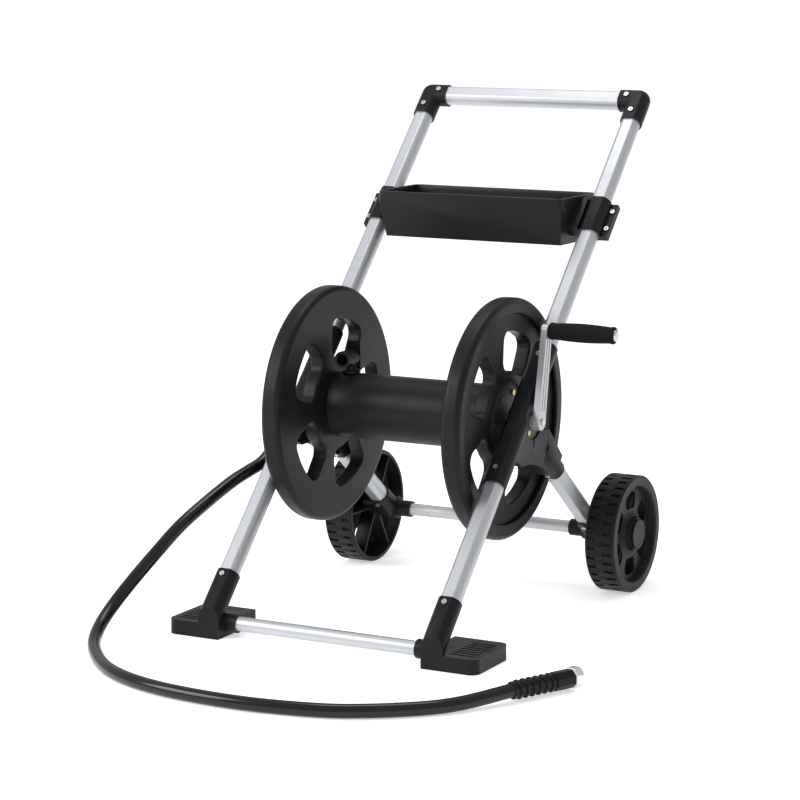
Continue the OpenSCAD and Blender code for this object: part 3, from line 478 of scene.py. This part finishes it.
def metal(name, base, roughness, shade, lean=0.0, stretch=(900, 900, 12), lines=1.0, metallic=1.0):
    """A drawn or turned metal whose faint lines follow one direction."""
    material, skin = shader(name)
    if skin is None:
        return material
    tree = material.node_tree
    skin.inputs["Metallic"].default_value = metallic
    turn = add(tree.nodes, "ShaderNodeMapping", vector_type="POINT")
    turn.inputs["Rotation"].default_value = (lean, 0, 0)
    turn.inputs["Scale"].default_value = stretch
    group = add(tree.nodes, "ShaderNodeGroup", node_tree=brushed_group())
    where = add(tree.nodes, "ShaderNodeTexCoord")
    tree.links.new(where.outputs["Object"], turn.inputs["Vector"])
    tree.links.new(turn.outputs["Vector"], group.inputs["Vector"])
    group.inputs["Colour"].default_value = (*base, 1)
    group.inputs["Shade"].default_value = (*shade, 1)
    group.inputs["Roughness"].default_value = roughness
    group.inputs["Lines"].default_value = lines
    connect(tree, group, skin, 0.00001)
    return material


def scaled(rgb, by):
    return tuple(min(1.0, c * by) for c in rgb)


def silver(direction):
    f, s = finishes(), sizes()
    lean = {"side": s.tube_lean, "leg": -s.leg_lean, "across": 0.0}[direction]
    stretch = (14, 900, 900) if direction == "across" else (900, 900, 14)
    return metal(
        "Silver tube " + direction, f.silver, 0.46, scaled(f.silver, 0.86), lean, stretch,
        metallic=0.85,
    )


# The fourth value of each moulded finish is its paler edge colour: partly wear, partly a painted
# highlight
def frame_plastic():
    f = finishes()
    return moulded("Frame moulding", f.moulding, 0.42, (0.07, 0.07, 0.08), 0.6, 900.0)


def reel_plastic():
    f = finishes()
    return moulded("Reel moulding", f.reel, 0.40, (0.05, 0.05, 0.058), 0.5, 700.0)


def tray_plastic():
    f = finishes()
    return moulded("Tray moulding", f.tray, 0.38, (0.06, 0.058, 0.06), 0.6, 800.0)


def wheel_plastic():
    f = finishes()
    return moulded(
        "Wheel moulding", f.wheel, 0.45, (0.035, 0.032, 0.034), 0.8, 600.0, 0.00006, 0.0016
    )


def ribbed_rubber():
    f = finishes()
    return moulded("Ribbed rubber", f.rubber, 0.36, (0.05, 0.05, 0.055), 0.6, 900.0)


def hose_rubber():
    material = moulded("Hose skin", finishes().hose, 0.24, (0.03, 0.03, 0.03), 0.0, 300.0, 0.00001)
    skin = material.node_tree.nodes["Principled BSDF"]
    skin.inputs["Coat Weight"].default_value = 0.35
    skin.inputs["Coat Roughness"].default_value = 0.12
    return material


def foam():
    return moulded(
        "Grip foam", (0.006, 0.006, 0.0065), 0.7, (0.02, 0.02, 0.02), 0.3, 1500.0, 0.0001,
        shine=0.12,
    )


def nylon():
    return moulded("Bush nylon", finishes().nylon, 0.4, (0.2, 0.2, 0.2), 0.3)


def zinc():
    f = finishes()
    return metal("Zinc plate", f.zinc, 0.33, scaled(f.zinc, 0.7), 0.0, (700, 700, 700))


def brass():
    f = finishes()
    return metal("Brass screws", f.brass, 0.3, scaled(f.brass, 0.6), 0.0, (700, 700, 700))


def nickel():
    f = finishes()
    return metal("Nickel plate", f.nickel, 0.34, scaled(f.nickel, 0.8), 0.0, (300, 300, 300), 0.6)


def chrome():
    f = finishes()
    return metal("Polished cap", f.chrome, 0.14, scaled(f.chrome, 0.85), 0.0, (400, 400, 400), 0.4)


def red_rubber():
    return moulded("Red washer", (0.25, 0.03, 0.02), 0.5, (0.4, 0.1, 0.08), 0.3)


# Studio -----------------------------------------------------------------------------------


# The camera's place in metres, its turn and height in degrees, and its lens and shift
CAMERA_PLACE = (1.873, -3.6978, 1.0335)
CAMERA_TURN, CAMERA_HEIGHT = 28, 10
CAMERA_LENS, CAMERA_SHIFT = 121.19, 0.017
# Light from all round, the white behind the cart, and the floor's own glow
ROUND_LIGHT, BACKDROP, FLOOR_GLOW = 0.62, 1.1, 0.5


class CART_OT_camera(bpy.types.Operator):
    """Stand the camera in front and to the crank side of the cart"""

    bl_idname = "hose_cart.camera"
    bl_label = "Camera"

    def execute(self, context):
        round_about, above = radians(CAMERA_TURN), radians(CAMERA_HEIGHT)
        back = Vector((sin(round_about) * cos(above), -cos(round_about) * cos(above), sin(above)))
        lens = bpy.data.cameras.new("Camera")
        lens.sensor_width = 36
        lens.lens = CAMERA_LENS
        lens.shift_y = CAMERA_SHIFT
        camera = bpy.data.objects.new("Camera", lens)
        camera.location = CAMERA_PLACE
        camera.rotation_mode = "QUATERNION"
        camera.rotation_quaternion = (-back).to_track_quat("-Z", "Y")
        context.scene.collection.objects.link(camera)
        context.scene.camera = camera
        return {"FINISHED"}


def soft_light(name, place, aim, size, power):
    lamp = bpy.data.lights.new(name, "AREA")
    lamp.shape = "RECTANGLE"
    lamp.size, lamp.size_y = size
    lamp.energy = power
    light = bpy.data.objects.new(name, lamp)
    light.location = place
    light.rotation_euler = (Vector(aim) - Vector(place)).to_track_quat("-Z", "Y").to_euler()
    bpy.context.scene.collection.objects.link(light)


class CART_OT_studio(bpy.types.Operator):
    """Lay the pale floor and hang the soft lights"""

    bl_idname = "hose_cart.studio"
    bl_label = "Studio"

    def execute(self, context):
        bm = bmesh.new()
        bmesh.ops.create_grid(bm, x_segments=1, y_segments=1, size=30)
        mesh = bpy.data.meshes.new("Floor")
        bm.to_mesh(mesh)
        bm.free()
        material, skin = shader("Studio floor")
        skin.inputs["Base Color"].default_value = (*finishes().floor, 1)
        skin.inputs["Roughness"].default_value = 0.9
        skin.inputs["Specular IOR Level"].default_value = 0.0
        skin.inputs["Emission Color"].default_value = (1, 1, 1, 1)
        skin.inputs["Emission Strength"].default_value = FLOOR_GLOW
        mesh.materials.append(material)
        floor = bpy.data.objects.new("Floor", mesh)
        context.scene.collection.objects.link(floor)
        world = bpy.data.worlds.new("Studio")
        context.scene.world = world
        world.use_nodes = True
        sky = world.node_tree.nodes["Background"]
        sky.inputs["Color"].default_value = (1, 1, 1, 1)
        seen = add(world.node_tree.nodes, "ShaderNodeLightPath").outputs["Is Camera Ray"]
        strength = spread(world.node_tree, seen, 0.0, 1.0, ROUND_LIGHT, BACKDROP)
        world.node_tree.links.new(strength, sky.inputs["Strength"])
        soft_light("Key", (-2.6, -2.6, 2.2), (0, 0, 0.35), (2.0, 2.0), 95)
        soft_light("Top", (-0.3, 0.4, 3.2), (0, 0, 0.3), (1.6, 1.2), 26)
        context.scene.view_settings.view_transform = "Standard"
        return {"FINISHED"}


# Leader hose and coupling -----------------------------------------------------------------

# Places along the hose from the inlet to the coupling, in the cart's millimetres
HOSE_LIE = [
    (-226.1, 322.19, 276.10), (-226, 305, 252), (-227, 290, 236), (-230, 270, 225),
    (-235, 240, 217), (-242, 202, 206), (-252, 146, 184), (-265, 90, 156), (-280, 44, 121),
    (-298, 10, 86), (-308, -30, 54), (-304, -72, 32), (-286, -114, 18), (-248, -160, 12),
    (-200, -202, 10.6), (-145, -232, 10.6), (-82, -251, 10.6), (-18, -259, 10.6),
    (50, -260, 10.6), (115, -252, 10.6), (176, -237, 10.6), (222, -214, 10.6),
    (262, -186, 10.6), (296, -155, 10.6), (320, -124, 11.5), (341, -90, 14),
]
COUPLING_MOUTH = Vector((412, 60, 16.2))
COUPLING_HEADING = 65.0
COUPLING_BACKS = (123, 85, 47)
# How much thinner the hose is drawn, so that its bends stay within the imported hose, in metres
HOSE_EASE = 0.0004


def at_coupling():
    """X runs out of the coupling and is zero at its mouth."""
    return Matrix.Translation(COUPLING_MOUTH) @ turned(COUPLING_HEADING, "Z")


def smooth_line(points, steps):
    """Points along one smooth line through the given places."""
    line = []
    last = len(points) - 1
    for i in range(last):
        a, b, c, d = (points[min(max(i + k, 0), last)] for k in (-1, 0, 1, 2))
        for k in range(steps):
            u = k / steps
            line.append(
                0.5 * (2 * b + (c - a) * u + (2 * a - 5 * b + 4 * c - d) * u * u
                       + (3 * b - a - 3 * c + d) * u * u * u)
            )
    return line + [points[-1]]


def hose_line(steps=8):
    heading = Vector((cos(radians(COUPLING_HEADING)), sin(radians(COUPLING_HEADING)), 0))
    places = [Vector(p) for p in HOSE_LIE] + [COUPLING_MOUTH - heading * b for b in COUPLING_BACKS]
    return [cart_space() @ p for p in smooth_line(places, steps)]


class CART_OT_leader_hose(bpy.types.Operator):
    """Lay the leader hose from the inlet elbow round the front to its coupling"""

    bl_idname = "hose_cart.leader_hose"
    bl_label = "Leader hose"

    def execute(self, context):
        line = hose_line()
        curve = bpy.data.curves.new("leader_hose_tube", "CURVE")
        curve.dimensions = "3D"
        curve.bevel_depth = sizes().hose_diameter / 2 - HOSE_EASE
        curve.bevel_resolution = 10
        curve.use_fill_caps = True
        spline = curve.splines.new("POLY")
        spline.points.add(len(line) - 1)
        for point, place in zip(spline.points, line):
            point.co = (*place, 1)
        spline.use_smooth = True
        curve.materials.append(hose_rubber())
        hose = bpy.data.objects.new("leader_hose_tube", curve)
        context.scene.collection.objects.link(hose)
        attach(hose, "frame")
        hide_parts("leader_hose")
        return {"FINISHED"}


def lofted(bm, rings, sides, turn=0.0):
    """A closed bar along X through rings of (x, corner radius), with flat sides."""
    loops = []
    for x, r in rings:
        made = bmesh.ops.create_circle(bm, segments=sides, radius=r)["verts"]
        bmesh.ops.rotate(bm, verts=made, cent=(0, 0, 0), matrix=Matrix.Rotation(turn, 3, "Z"))
        bmesh.ops.transform(bm, verts=made, matrix=at(x) @ turned(90, "Y"))
        loops.append([e for v in made for e in v.link_edges])
        loops[-1] = list(set(loops[-1]))
    for a, b in zip(loops, loops[1:]):
        bmesh.ops.bridge_loops(bm, edges=a + b)
    for end in (loops[0], loops[-1]):
        bmesh.ops.contextual_create(bm, geom=end)


class CART_OT_coupling(bpy.types.Operator):
    """Make the ribbed sleeve and the eight-sided nut at the end of the hose"""

    bl_idname = "hose_cart.coupling"
    bl_label = "Hose coupling"

    def execute(self, context):
        eighth = tau / 16
        back, front, sleeve_r = -123.0, -15.4, 14.0
        # A low collar at the back, six ribs with deep grooves and a long plain collar at the nut
        groove_r, collar_r, pitch, plain = 11.5, 12.8, 11.4, 75.4
        rings = [(back, 11.4), (back + 1, collar_r), (back + 6, collar_r), (back + 7, groove_r)]
        for rib in range(6):
            start = back + 9 + rib * pitch
            rings += [(start, groove_r), (start + 0.8, sleeve_r), (start + 5.8, sleeve_r),
                      (start + 6.6, groove_r)]
        rings += [(back + plain - 0.8, groove_r), (back + plain, sleeve_r), (front - 1.2, sleeve_r),
                  (front, 13.0)]
        bm = bmesh.new()
        lofted(bm, rings, 8, eighth)
        soften(bm, 0.45, 2, 20)
        make_piece("hose_sleeve_ribbed", placed(bm, at_coupling()), ribbed_rubber(),
                   "frame", ["hose_sleeve"], 30)
        # Nut: bore and seat turned, outside eight-sided with chamfered ends
        bm = bmesh.new()
        outside = [(-29.0, 12.0), (-15.0, 12.0), (-15.0, 14.4), (-13.8, 16.0), (-1.6, 16.0),
                   (0.0, 14.6)]
        lofted(bm, outside, 8, eighth)
        soften(bm, 0.5, 2, 20)
        ends = [f for f in bm.faces if f.normal.x > 0.9 and f.calc_center_median().x > -0.1]
        bore = bmesh.ops.create_circle(bm, segments=48, radius=12.9)["verts"]
        bmesh.ops.transform(bm, verts=bore, matrix=at(0) @ turned(90, "Y"))
        rim = list({e for v in bore for e in v.link_edges})
        outer = list({e for f in ends for e in f.edges})
        bmesh.ops.delete(bm, geom=ends, context="FACES_ONLY")
        bmesh.ops.triangle_fill(bm, use_beauty=True, edges=rim + outer)
        loop = rim
        # Thread, then a step down to the washer's seat
        crest, root, thread_step, seat = 12.2, 13.1, 0.8, 11.2
        thread = [(-thread_step * (i + 1), root if i % 2 else crest) for i in range(10)]
        for x, r in thread + [(-10.0, root), (-10.0, seat), (-14.4, seat), (-14.4, 0.0)]:
            made = bmesh.ops.extrude_edge_only(bm, edges=loop)["geom"]
            verts = [v for v in made if isinstance(v, bmesh.types.BMVert)]
            loop = [e for e in made if isinstance(e, bmesh.types.BMEdge)]
            now = max(Vector((0, v.co.y, v.co.z)).length for v in verts)
            bmesh.ops.scale(bm, vec=(1, max(r, 0.01) / now, max(r, 0.01) / now), verts=verts)
            for v in verts:
                v.co.x = x
        bmesh.ops.remove_doubles(bm, verts=bm.verts, dist=0.02)
        make_piece("coupling_nut_octagon", placed(bm, at_coupling()), nickel(),
                   "coupling_nut", ["coupling_nut"], 30)
        return {"FINISHED"}


# Frame ------------------------------------------------------------------------------------


def tube_face(bm):
    """The flat-fronted round section, its flat face towards -Y."""
    s = sizes()
    r = mm(s.tube_width) / 2
    to_middle = sqrt(r * r - mm(s.tube_flat) ** 2 / 4)
    made = bmesh.ops.create_circle(bm, cap_ends=True, segments=72, radius=r)["verts"]
    bmesh.ops.translate(bm, verts=made, vec=(0, to_middle, 0))
    bmesh.ops.bisect_plane(
        bm, geom=bm.verts[:] + bm.edges[:] + bm.faces[:], plane_co=(0, 0, 0),
        plane_no=(0, -1, 0), clear_outer=True, dist=0.001,
    )
    corners = [v for v in bm.verts if abs(v.co.y) < 0.01]
    bmesh.ops.bevel(bm, geom=corners, offset=1.0, offset_type="OFFSET", affect="VERTICES",
                    segments=4, profile=0.5, material=-1)
    bm.faces.ensure_lookup_table()
    return bm.faces[0]


def tube(name, long, where, finish, node, mirrored=False):
    bm = bmesh.new()
    drawn_out(bm, tube_face(bm), (0, 0, long))
    shape = placed(bm, where, mirrored)
    return make_piece(name, shape, finish, "frame", [node], 40)


class CART_OT_tubes(bpy.types.Operator):
    """Draw the flat-fronted side tubes, rear legs and handle bar, and the round cross tubes"""

    bl_idname = "hose_cart.tubes"
    bl_label = "Frame tubes"

    def execute(self, context):
        s = sizes()
        width, flat = mm(s.tube_width), mm(s.tube_flat)
        half_depth = (width / 2 + sqrt(width ** 2 - flat ** 2) / 2) / 2
        lower_from, lower_long = 84, 312
        upper_from, upper_long = 538, 537.7
        leg_from, leg_long = 22, 227
        for hand, mirrored in (("left", True), ("right", False)):
            tube("lower_tube_drawn_" + hand, lower_long, along_side_tube() @ at(z=lower_from),
                 silver("side"), "lower_tube_" + hand, mirrored)
            tube("upper_tube_drawn_" + hand, upper_long, along_side_tube() @ at(z=upper_from),
                 silver("side"), "upper_tube_" + hand, mirrored)
            tube("rear_leg_drawn_" + hand, leg_long, along_leg() @ at(0, -half_depth, leg_from),
                 silver("leg"), "rear_leg_" + hand, mirrored)
        half_bar = 193
        bar_start = at(-mm(s.half_track) - half_bar, 0, mm(s.handle_up))
        across = along_side_tube() @ bar_start @ turned(90, "Y")
        tube("handle_bar_drawn", 2 * half_bar, across, silver("across"), "handle_bar")
        for name, node, r, reach in (("front_crossbar_tube", "front_crossbar", 11, 176),
                                     ("rear_crossbar_tube", "rear_crossbar", 10, 168)):
            bm = bmesh.new()
            lathe(bm, [(-reach, r - 1.5), (-reach, r), (reach, r), (reach, r - 1.5)], 64)
            make_piece(name, placed(bm, Matrix.Translation(middle(node))), silver("across"),
                       "frame", [node], 40)
        return {"FINISHED"}


MOULDINGS = (
    "foot_left", "foot_right", "corner_left", "corner_right", "side_bracket_left",
    "side_bracket_right", "rear_bracket_left", "rear_bracket_right", "clamp_plate_left",
    "clamp_plate_right",
)


class CART_OT_mouldings(bpy.types.Operator):
    """Round off the feet, corners, side brackets, rear brackets and clamp plates"""

    bl_idname = "hose_cart.mouldings"
    bl_label = "Frame mouldings"

    def execute(self, context):
        for node in MOULDINGS:
            softened_copy(node, 0.9, frame_plastic())
        return {"FINISHED"}


class CART_OT_tray(bpy.types.Operator):
    """Form the tool tray"""

    bl_idname = "hose_cart.tray"
    bl_label = "Tray"

    def execute(self, context):
        softened_copy("tray", 0.9, tray_plastic())
        return {"FINISHED"}


# Reel -------------------------------------------------------------------------------------

WEB_FACE, FLANGE_INNER, FLANGE_OUTER = 160.2, 136.7, 168.2
# Inner and outer reach of a window, its corner and half its angle
WINDOW = (76.0, 136.0, 20.0, 12.5)
WINDOWS, FIRST_WINDOW = 5, 16.0


def window_edges(bm, x, grow, first, size):
    """The outline of one window in a disc, with round corners, at a place along X."""
    inner, outer, corner, half = size
    crown, bow = (1, 22.0), (4, 11.0)
    low, high, side = inner - grow, outer + grow, corner + grow
    points = []
    for hand in (-1, 1):
        line = radians(half) * hand
        out = Vector((cos(line), sin(line)))
        off = Vector((-sin(line), cos(line))) * side * hand
        pair = []
        for r in (high, low):
            along = sqrt(max(r * r - side * side, 0))
            pair.append(out * along + off)
        points.append(pair)
    loop = [points[0][0], Vector((high / cos(radians(half) * 0.35), 0)), points[1][0],
            points[1][1], Vector((low * 0.985, 0)), points[0][1]]
    turn = radians(first)
    spots = []
    for p in loop:
        a = atan2(p.y, p.x) + turn
        spots.append((x, p.length * sin(a), p.length * cos(a)))
    edges = ring_of(bm, spots)
    verts = list(dict.fromkeys(v for e in edges for v in e.verts))
    by_place = [min(verts, key=lambda v: (v.co - Vector(s)).length) for s in spots]
    corners = [by_place[i] for i in (0, 2, 3, 5)]
    before = set(bm.verts) - set(verts)
    bmesh.ops.bevel(bm, geom=corners, offset=corner * 0.86 + grow, offset_type="OFFSET",
                    affect="VERTICES", segments=8, profile=0.5, material=-1)
    for place, ease in (crown, bow):
        bmesh.ops.bevel(bm, geom=[by_place[place]], offset=ease, offset_type="OFFSET",
                        affect="VERTICES", segments=7, profile=0.5, material=-1)
    fresh = [v for v in bm.verts if v not in before]
    return list({e for v in fresh for e in v.link_edges})


def lathe_open(bm, profile, steps):
    """A turned skin whose profile ends stay open."""
    edges = ring_of(bm, [(x, 0.0, r) for x, r in profile], False)
    verts = list({v for e in edges for v in e.verts})
    bmesh.ops.spin(bm, geom=verts + edges, cent=(0, 0, 0), axis=(1, 0, 0), angle=tau, steps=steps,
                   use_merge=True)


def arc(x, r, size, start, end, steps=6):
    """Profile points round a corner centre, by angle from X towards the radius."""
    turns = [start + (end - start) * i / steps for i in range(steps + 1)]
    return [(x + size * cos(radians(t)), r + size * sin(radians(t))) for t in turns]


def flange_shape(shaft_r):
    """Right flange: bead rim, flat web with lipped windows, raised ring round the hub."""
    steps, lip = 144, 3.2
    rim, rim_r = mm(sizes().flange_diameter) / 2, 9.0
    web_rim, web_hub = 163.0, 63.0
    bm = bmesh.new()
    back = FLANGE_INNER
    rim_profile = (
        [(WEB_FACE, web_rim)]
        + [(WEB_FACE + 0.6, web_rim - 1.0), (WEB_FACE + 2.0, 161.2), (FLANGE_OUTER - 3.0, 161.0)]
        + arc(FLANGE_OUTER - 3.0, 164.0, 3.0, -90, 0, 4)[1:]
        + arc(FLANGE_OUTER - rim_r, rim - rim_r, rim_r, 0, 90, 8)
        + arc(back + rim_r, rim - rim_r, rim_r, 90, 180, 8)
    )
    lathe_open(bm, rim_profile, steps)
    hub_profile = (
        [(WEB_FACE, web_hub), (WEB_FACE + 0.5, 61.4)]
        + arc(WEB_FACE + 2.6, 59.6, 1.4, 90, 0, 3)
        + arc(WEB_FACE + 2.6, 56.4, 1.4, 0, -90, 3)
        + [(WEB_FACE + 0.4, 54.8), (WEB_FACE, 53.5), (WEB_FACE, shaft_r), (back, shaft_r),
           (back, 44.5), (back - 10, 44.5), (back - 10, 48.3), (back, 48.3), (back, 60.0)]
    )
    lathe_open(bm, hub_profile, steps)
    rings = {}
    for x, inner, outer in ((WEB_FACE, web_hub, web_rim), (back, 60.0, rim - rim_r)):
        rings[x] = [e for e in bm.edges if len(e.link_faces) == 1 and all(
            abs(v.co.x - x) < 0.01
            and min(abs(v.co.yz.length - inner), abs(v.co.yz.length - outer)) < 0.05
            for v in e.verts)]
    levels = [(WEB_FACE, lip), (WEB_FACE - 0.5, lip * 0.55), (WEB_FACE - 1.5, lip * 0.16),
              (WEB_FACE - lip, 0.0), (back + lip, 0.0), (back + 1.5, lip * 0.16),
              (back + 0.5, lip * 0.55), (back, lip)]
    for i in range(WINDOWS):
        turn = FIRST_WINDOW + i * 360.0 / WINDOWS
        loops = [window_edges(bm, x, grow, turn, WINDOW) for x, grow in levels]
        for a, b in zip(loops, loops[1:]):
            bmesh.ops.bridge_loops(bm, edges=a + b)
        rings[WEB_FACE] += loops[0]
        rings[back] += loops[-1]
    for edges in rings.values():
        bmesh.ops.triangle_fill(bm, use_beauty=True, use_dissolve=False, edges=edges)
    return bm


class CART_OT_reel(bpy.types.Operator):
    """Mould the two flanges and the drum between them"""

    bl_idname = "hose_cart.reel"
    bl_label = "Reel"

    def execute(self, context):
        for hand, mirrored, shaft_r in (("left", True, 12.0), ("right", False, 8.0)):
            make_piece("flange_moulded_" + hand, placed(flange_shape(shaft_r), at_reel(), mirrored),
                       reel_plastic(), "reel", ["flange_" + hand], 38)
        r, reach = mm(sizes().drum_diameter) / 2, FLANGE_INNER
        bm = bmesh.new()
        shoulder, foot = 9.0, reach - 0.6
        lathe(bm, arc(shoulder - foot, r - shoulder, shoulder, 180, 90, 8)
              + [(18 - reach, r), (18.6 - reach, r - 0.5)]
              + arc(foot - shoulder, r - 0.5 - shoulder, shoulder, 90, 0, 8), 128)
        make_piece("drum_tube", placed(bm, at_reel()), reel_plastic(), "reel",
                   ["drum"], 40)
        softened_copy("outlet_elbow", 0.8, frame_plastic())
        return {"FINISHED"}


class CART_OT_crank(bpy.types.Operator):
    """Make the crank arm, its foam grip and the bright cap"""

    bl_idname = "hose_cart.crank"
    bl_label = "Crank"

    def execute(self, context):
        softened_copy("crank_arm", 0.9, silver("across"))
        grip_at = at_crank() @ at(0, 0, mm(sizes().crank_radius))
        start, end = 218.8, 324.8
        collar = 13.2
        profile = [(start, 4.1), (start, 11.4), (start + 0.8, 12.6), (start + 2.0, collar),
                   (start + 5.0, collar), (start + 6.0, 12.5), (start + 7.0, 12.3)]
        for k in range(13):
            u = k / 12
            profile.append((start + 8 + 90 * u, 12.4 + 2.0 * sin(pi * u)))
        profile += [(end - 7.0, 12.3), (end - 6.0, 12.5), (end - 5.0, collar), (end - 2.0, collar),
                    (end - 0.8, 12.6), (end, 11.4), (end, 4.1)]
        bm = bmesh.new()
        lathe(bm, profile, 64)
        make_piece("crank_grip_foam", placed(bm, grip_at), foam(), "crank_grip",
                   ["crank_grip"], 40)
        cap = [(207.3, 0.0), (207.3, 4.0), (216.0, 4.0), (217.3, 7.0), (218.4, 7.0), (218.6, 4.0),
               (end + 0.3, 4.0), (end + 0.3, 8.6), (end + 0.8, 9.0), (end + 1.6, 9.0)]
        cap += [(end + 1.6 + 1.9 * sin(radians(t)), 9.0 * cos(radians(t)) ** 0.6)
                for t in (25, 45, 62, 76)]
        cap += [(end + 3.5, 0.0)]
        bm = bmesh.new()
        lathe(bm, cap, 48, False)
        make_piece("grip_bolt_turned", placed(bm, grip_at), chrome(), "reel",
                   ["grip_bolt"], 40)
        return {"FINISHED"}


class CART_OT_wheels(bpy.types.Operator):
    """Mould the wheels and their hub caps"""

    bl_idname = "hose_cart.wheels"
    bl_label = "Wheels"

    def execute(self, context):
        for hand in ("left", "right"):
            softened_copy("wheel_" + hand, 0.8, wheel_plastic())
            softened_copy("wheel_cap_" + hand, 1.2, wheel_plastic(), 3)
        return {"FINISHED"}


class CART_OT_inlet(bpy.types.Operator):
    """Make the inlet elbow with its sleeve, and the bushes of the reel"""

    bl_idname = "hose_cart.inlet"
    bl_label = "Inlet and bushes"

    def execute(self, context):
        softened_copy("inlet_elbow", 0.8, frame_plastic())
        softened_copy("inlet_sleeve", 1.0, ribbed_rubber())
        for hand in ("left", "right"):
            softened_copy("bush_" + hand, 0.6, nylon())
        return {"FINISHED"}


# CAD nodes that keep their own shape, with their finishes
def kept_nodes():
    return {
        zinc(): ("wheel_axle", "axle_washers", "axle_clip_left", "axle_clip_right", "crank_shaft",
                 "water_shaft", "clamp_screws", "corner_screws", "foot_screws", "bracket_screws",
                 "leg_screws", "crank_screw"),
        brass(): ("flange_screws", "bush_screws", "coupling_tail"),
        ribbed_rubber(): ("inlet_seals",),
        red_rubber(): ("coupling_washer",),
    }


class CART_OT_fittings(bpy.types.Operator):
    """Plate the axle, shafts, screws and small fittings"""

    bl_idname = "hose_cart.fittings"
    bl_label = "Shafts and screws"

    def execute(self, context):
        for finish, nodes in kept_nodes().items():
            for node in nodes:
                mesh = frame["nodes"][node].data
                mesh.materials.clear()
                mesh.materials.append(finish)
        return {"FINISHED"}


STEPS = (
    CART_OT_camera, CART_OT_coupling, CART_OT_leader_hose, CART_OT_tubes, CART_OT_mouldings,
    CART_OT_tray, CART_OT_reel, CART_OT_crank, CART_OT_wheels, CART_OT_inlet, CART_OT_fittings,
    CART_OT_studio,
)


class CART_PT_panel(bpy.types.Panel):
    """Sizes, colours and building steps of the hose reel cart"""

    bl_idname = "CART_PT_panel"
    bl_label = "Hose reel cart"
    bl_space_type = "VIEW_3D"
    bl_region_type = "UI"
    bl_category = "Hose cart"

    def draw(self, context):
        for group in (context.scene.cart_sizes, context.scene.cart_finishes):
            box = self.layout.box()
            for name in group.__annotations__:
                box.prop(group, name)
        for step in STEPS:
            self.layout.operator(step.bl_idname)


CLASSES = (CartSizes, CartFinishes, *STEPS, CART_PT_panel)


def register():
    for cls in CLASSES:
        bpy.utils.register_class(cls)
    bpy.types.Scene.cart_sizes = PointerProperty(type=CartSizes)
    bpy.types.Scene.cart_finishes = PointerProperty(type=CartFinishes)


def unregister():
    del bpy.types.Scene.cart_finishes
    del bpy.types.Scene.cart_sizes
    for cls in reversed(CLASSES):
        bpy.utils.unregister_class(cls)


def main():
    register()
    for step in STEPS:
        group, name = step.bl_idname.split(".")
        getattr(getattr(bpy.ops, group), name)()
    bpy.context.view_layer.update()


if __name__ == "__main__":
    main()
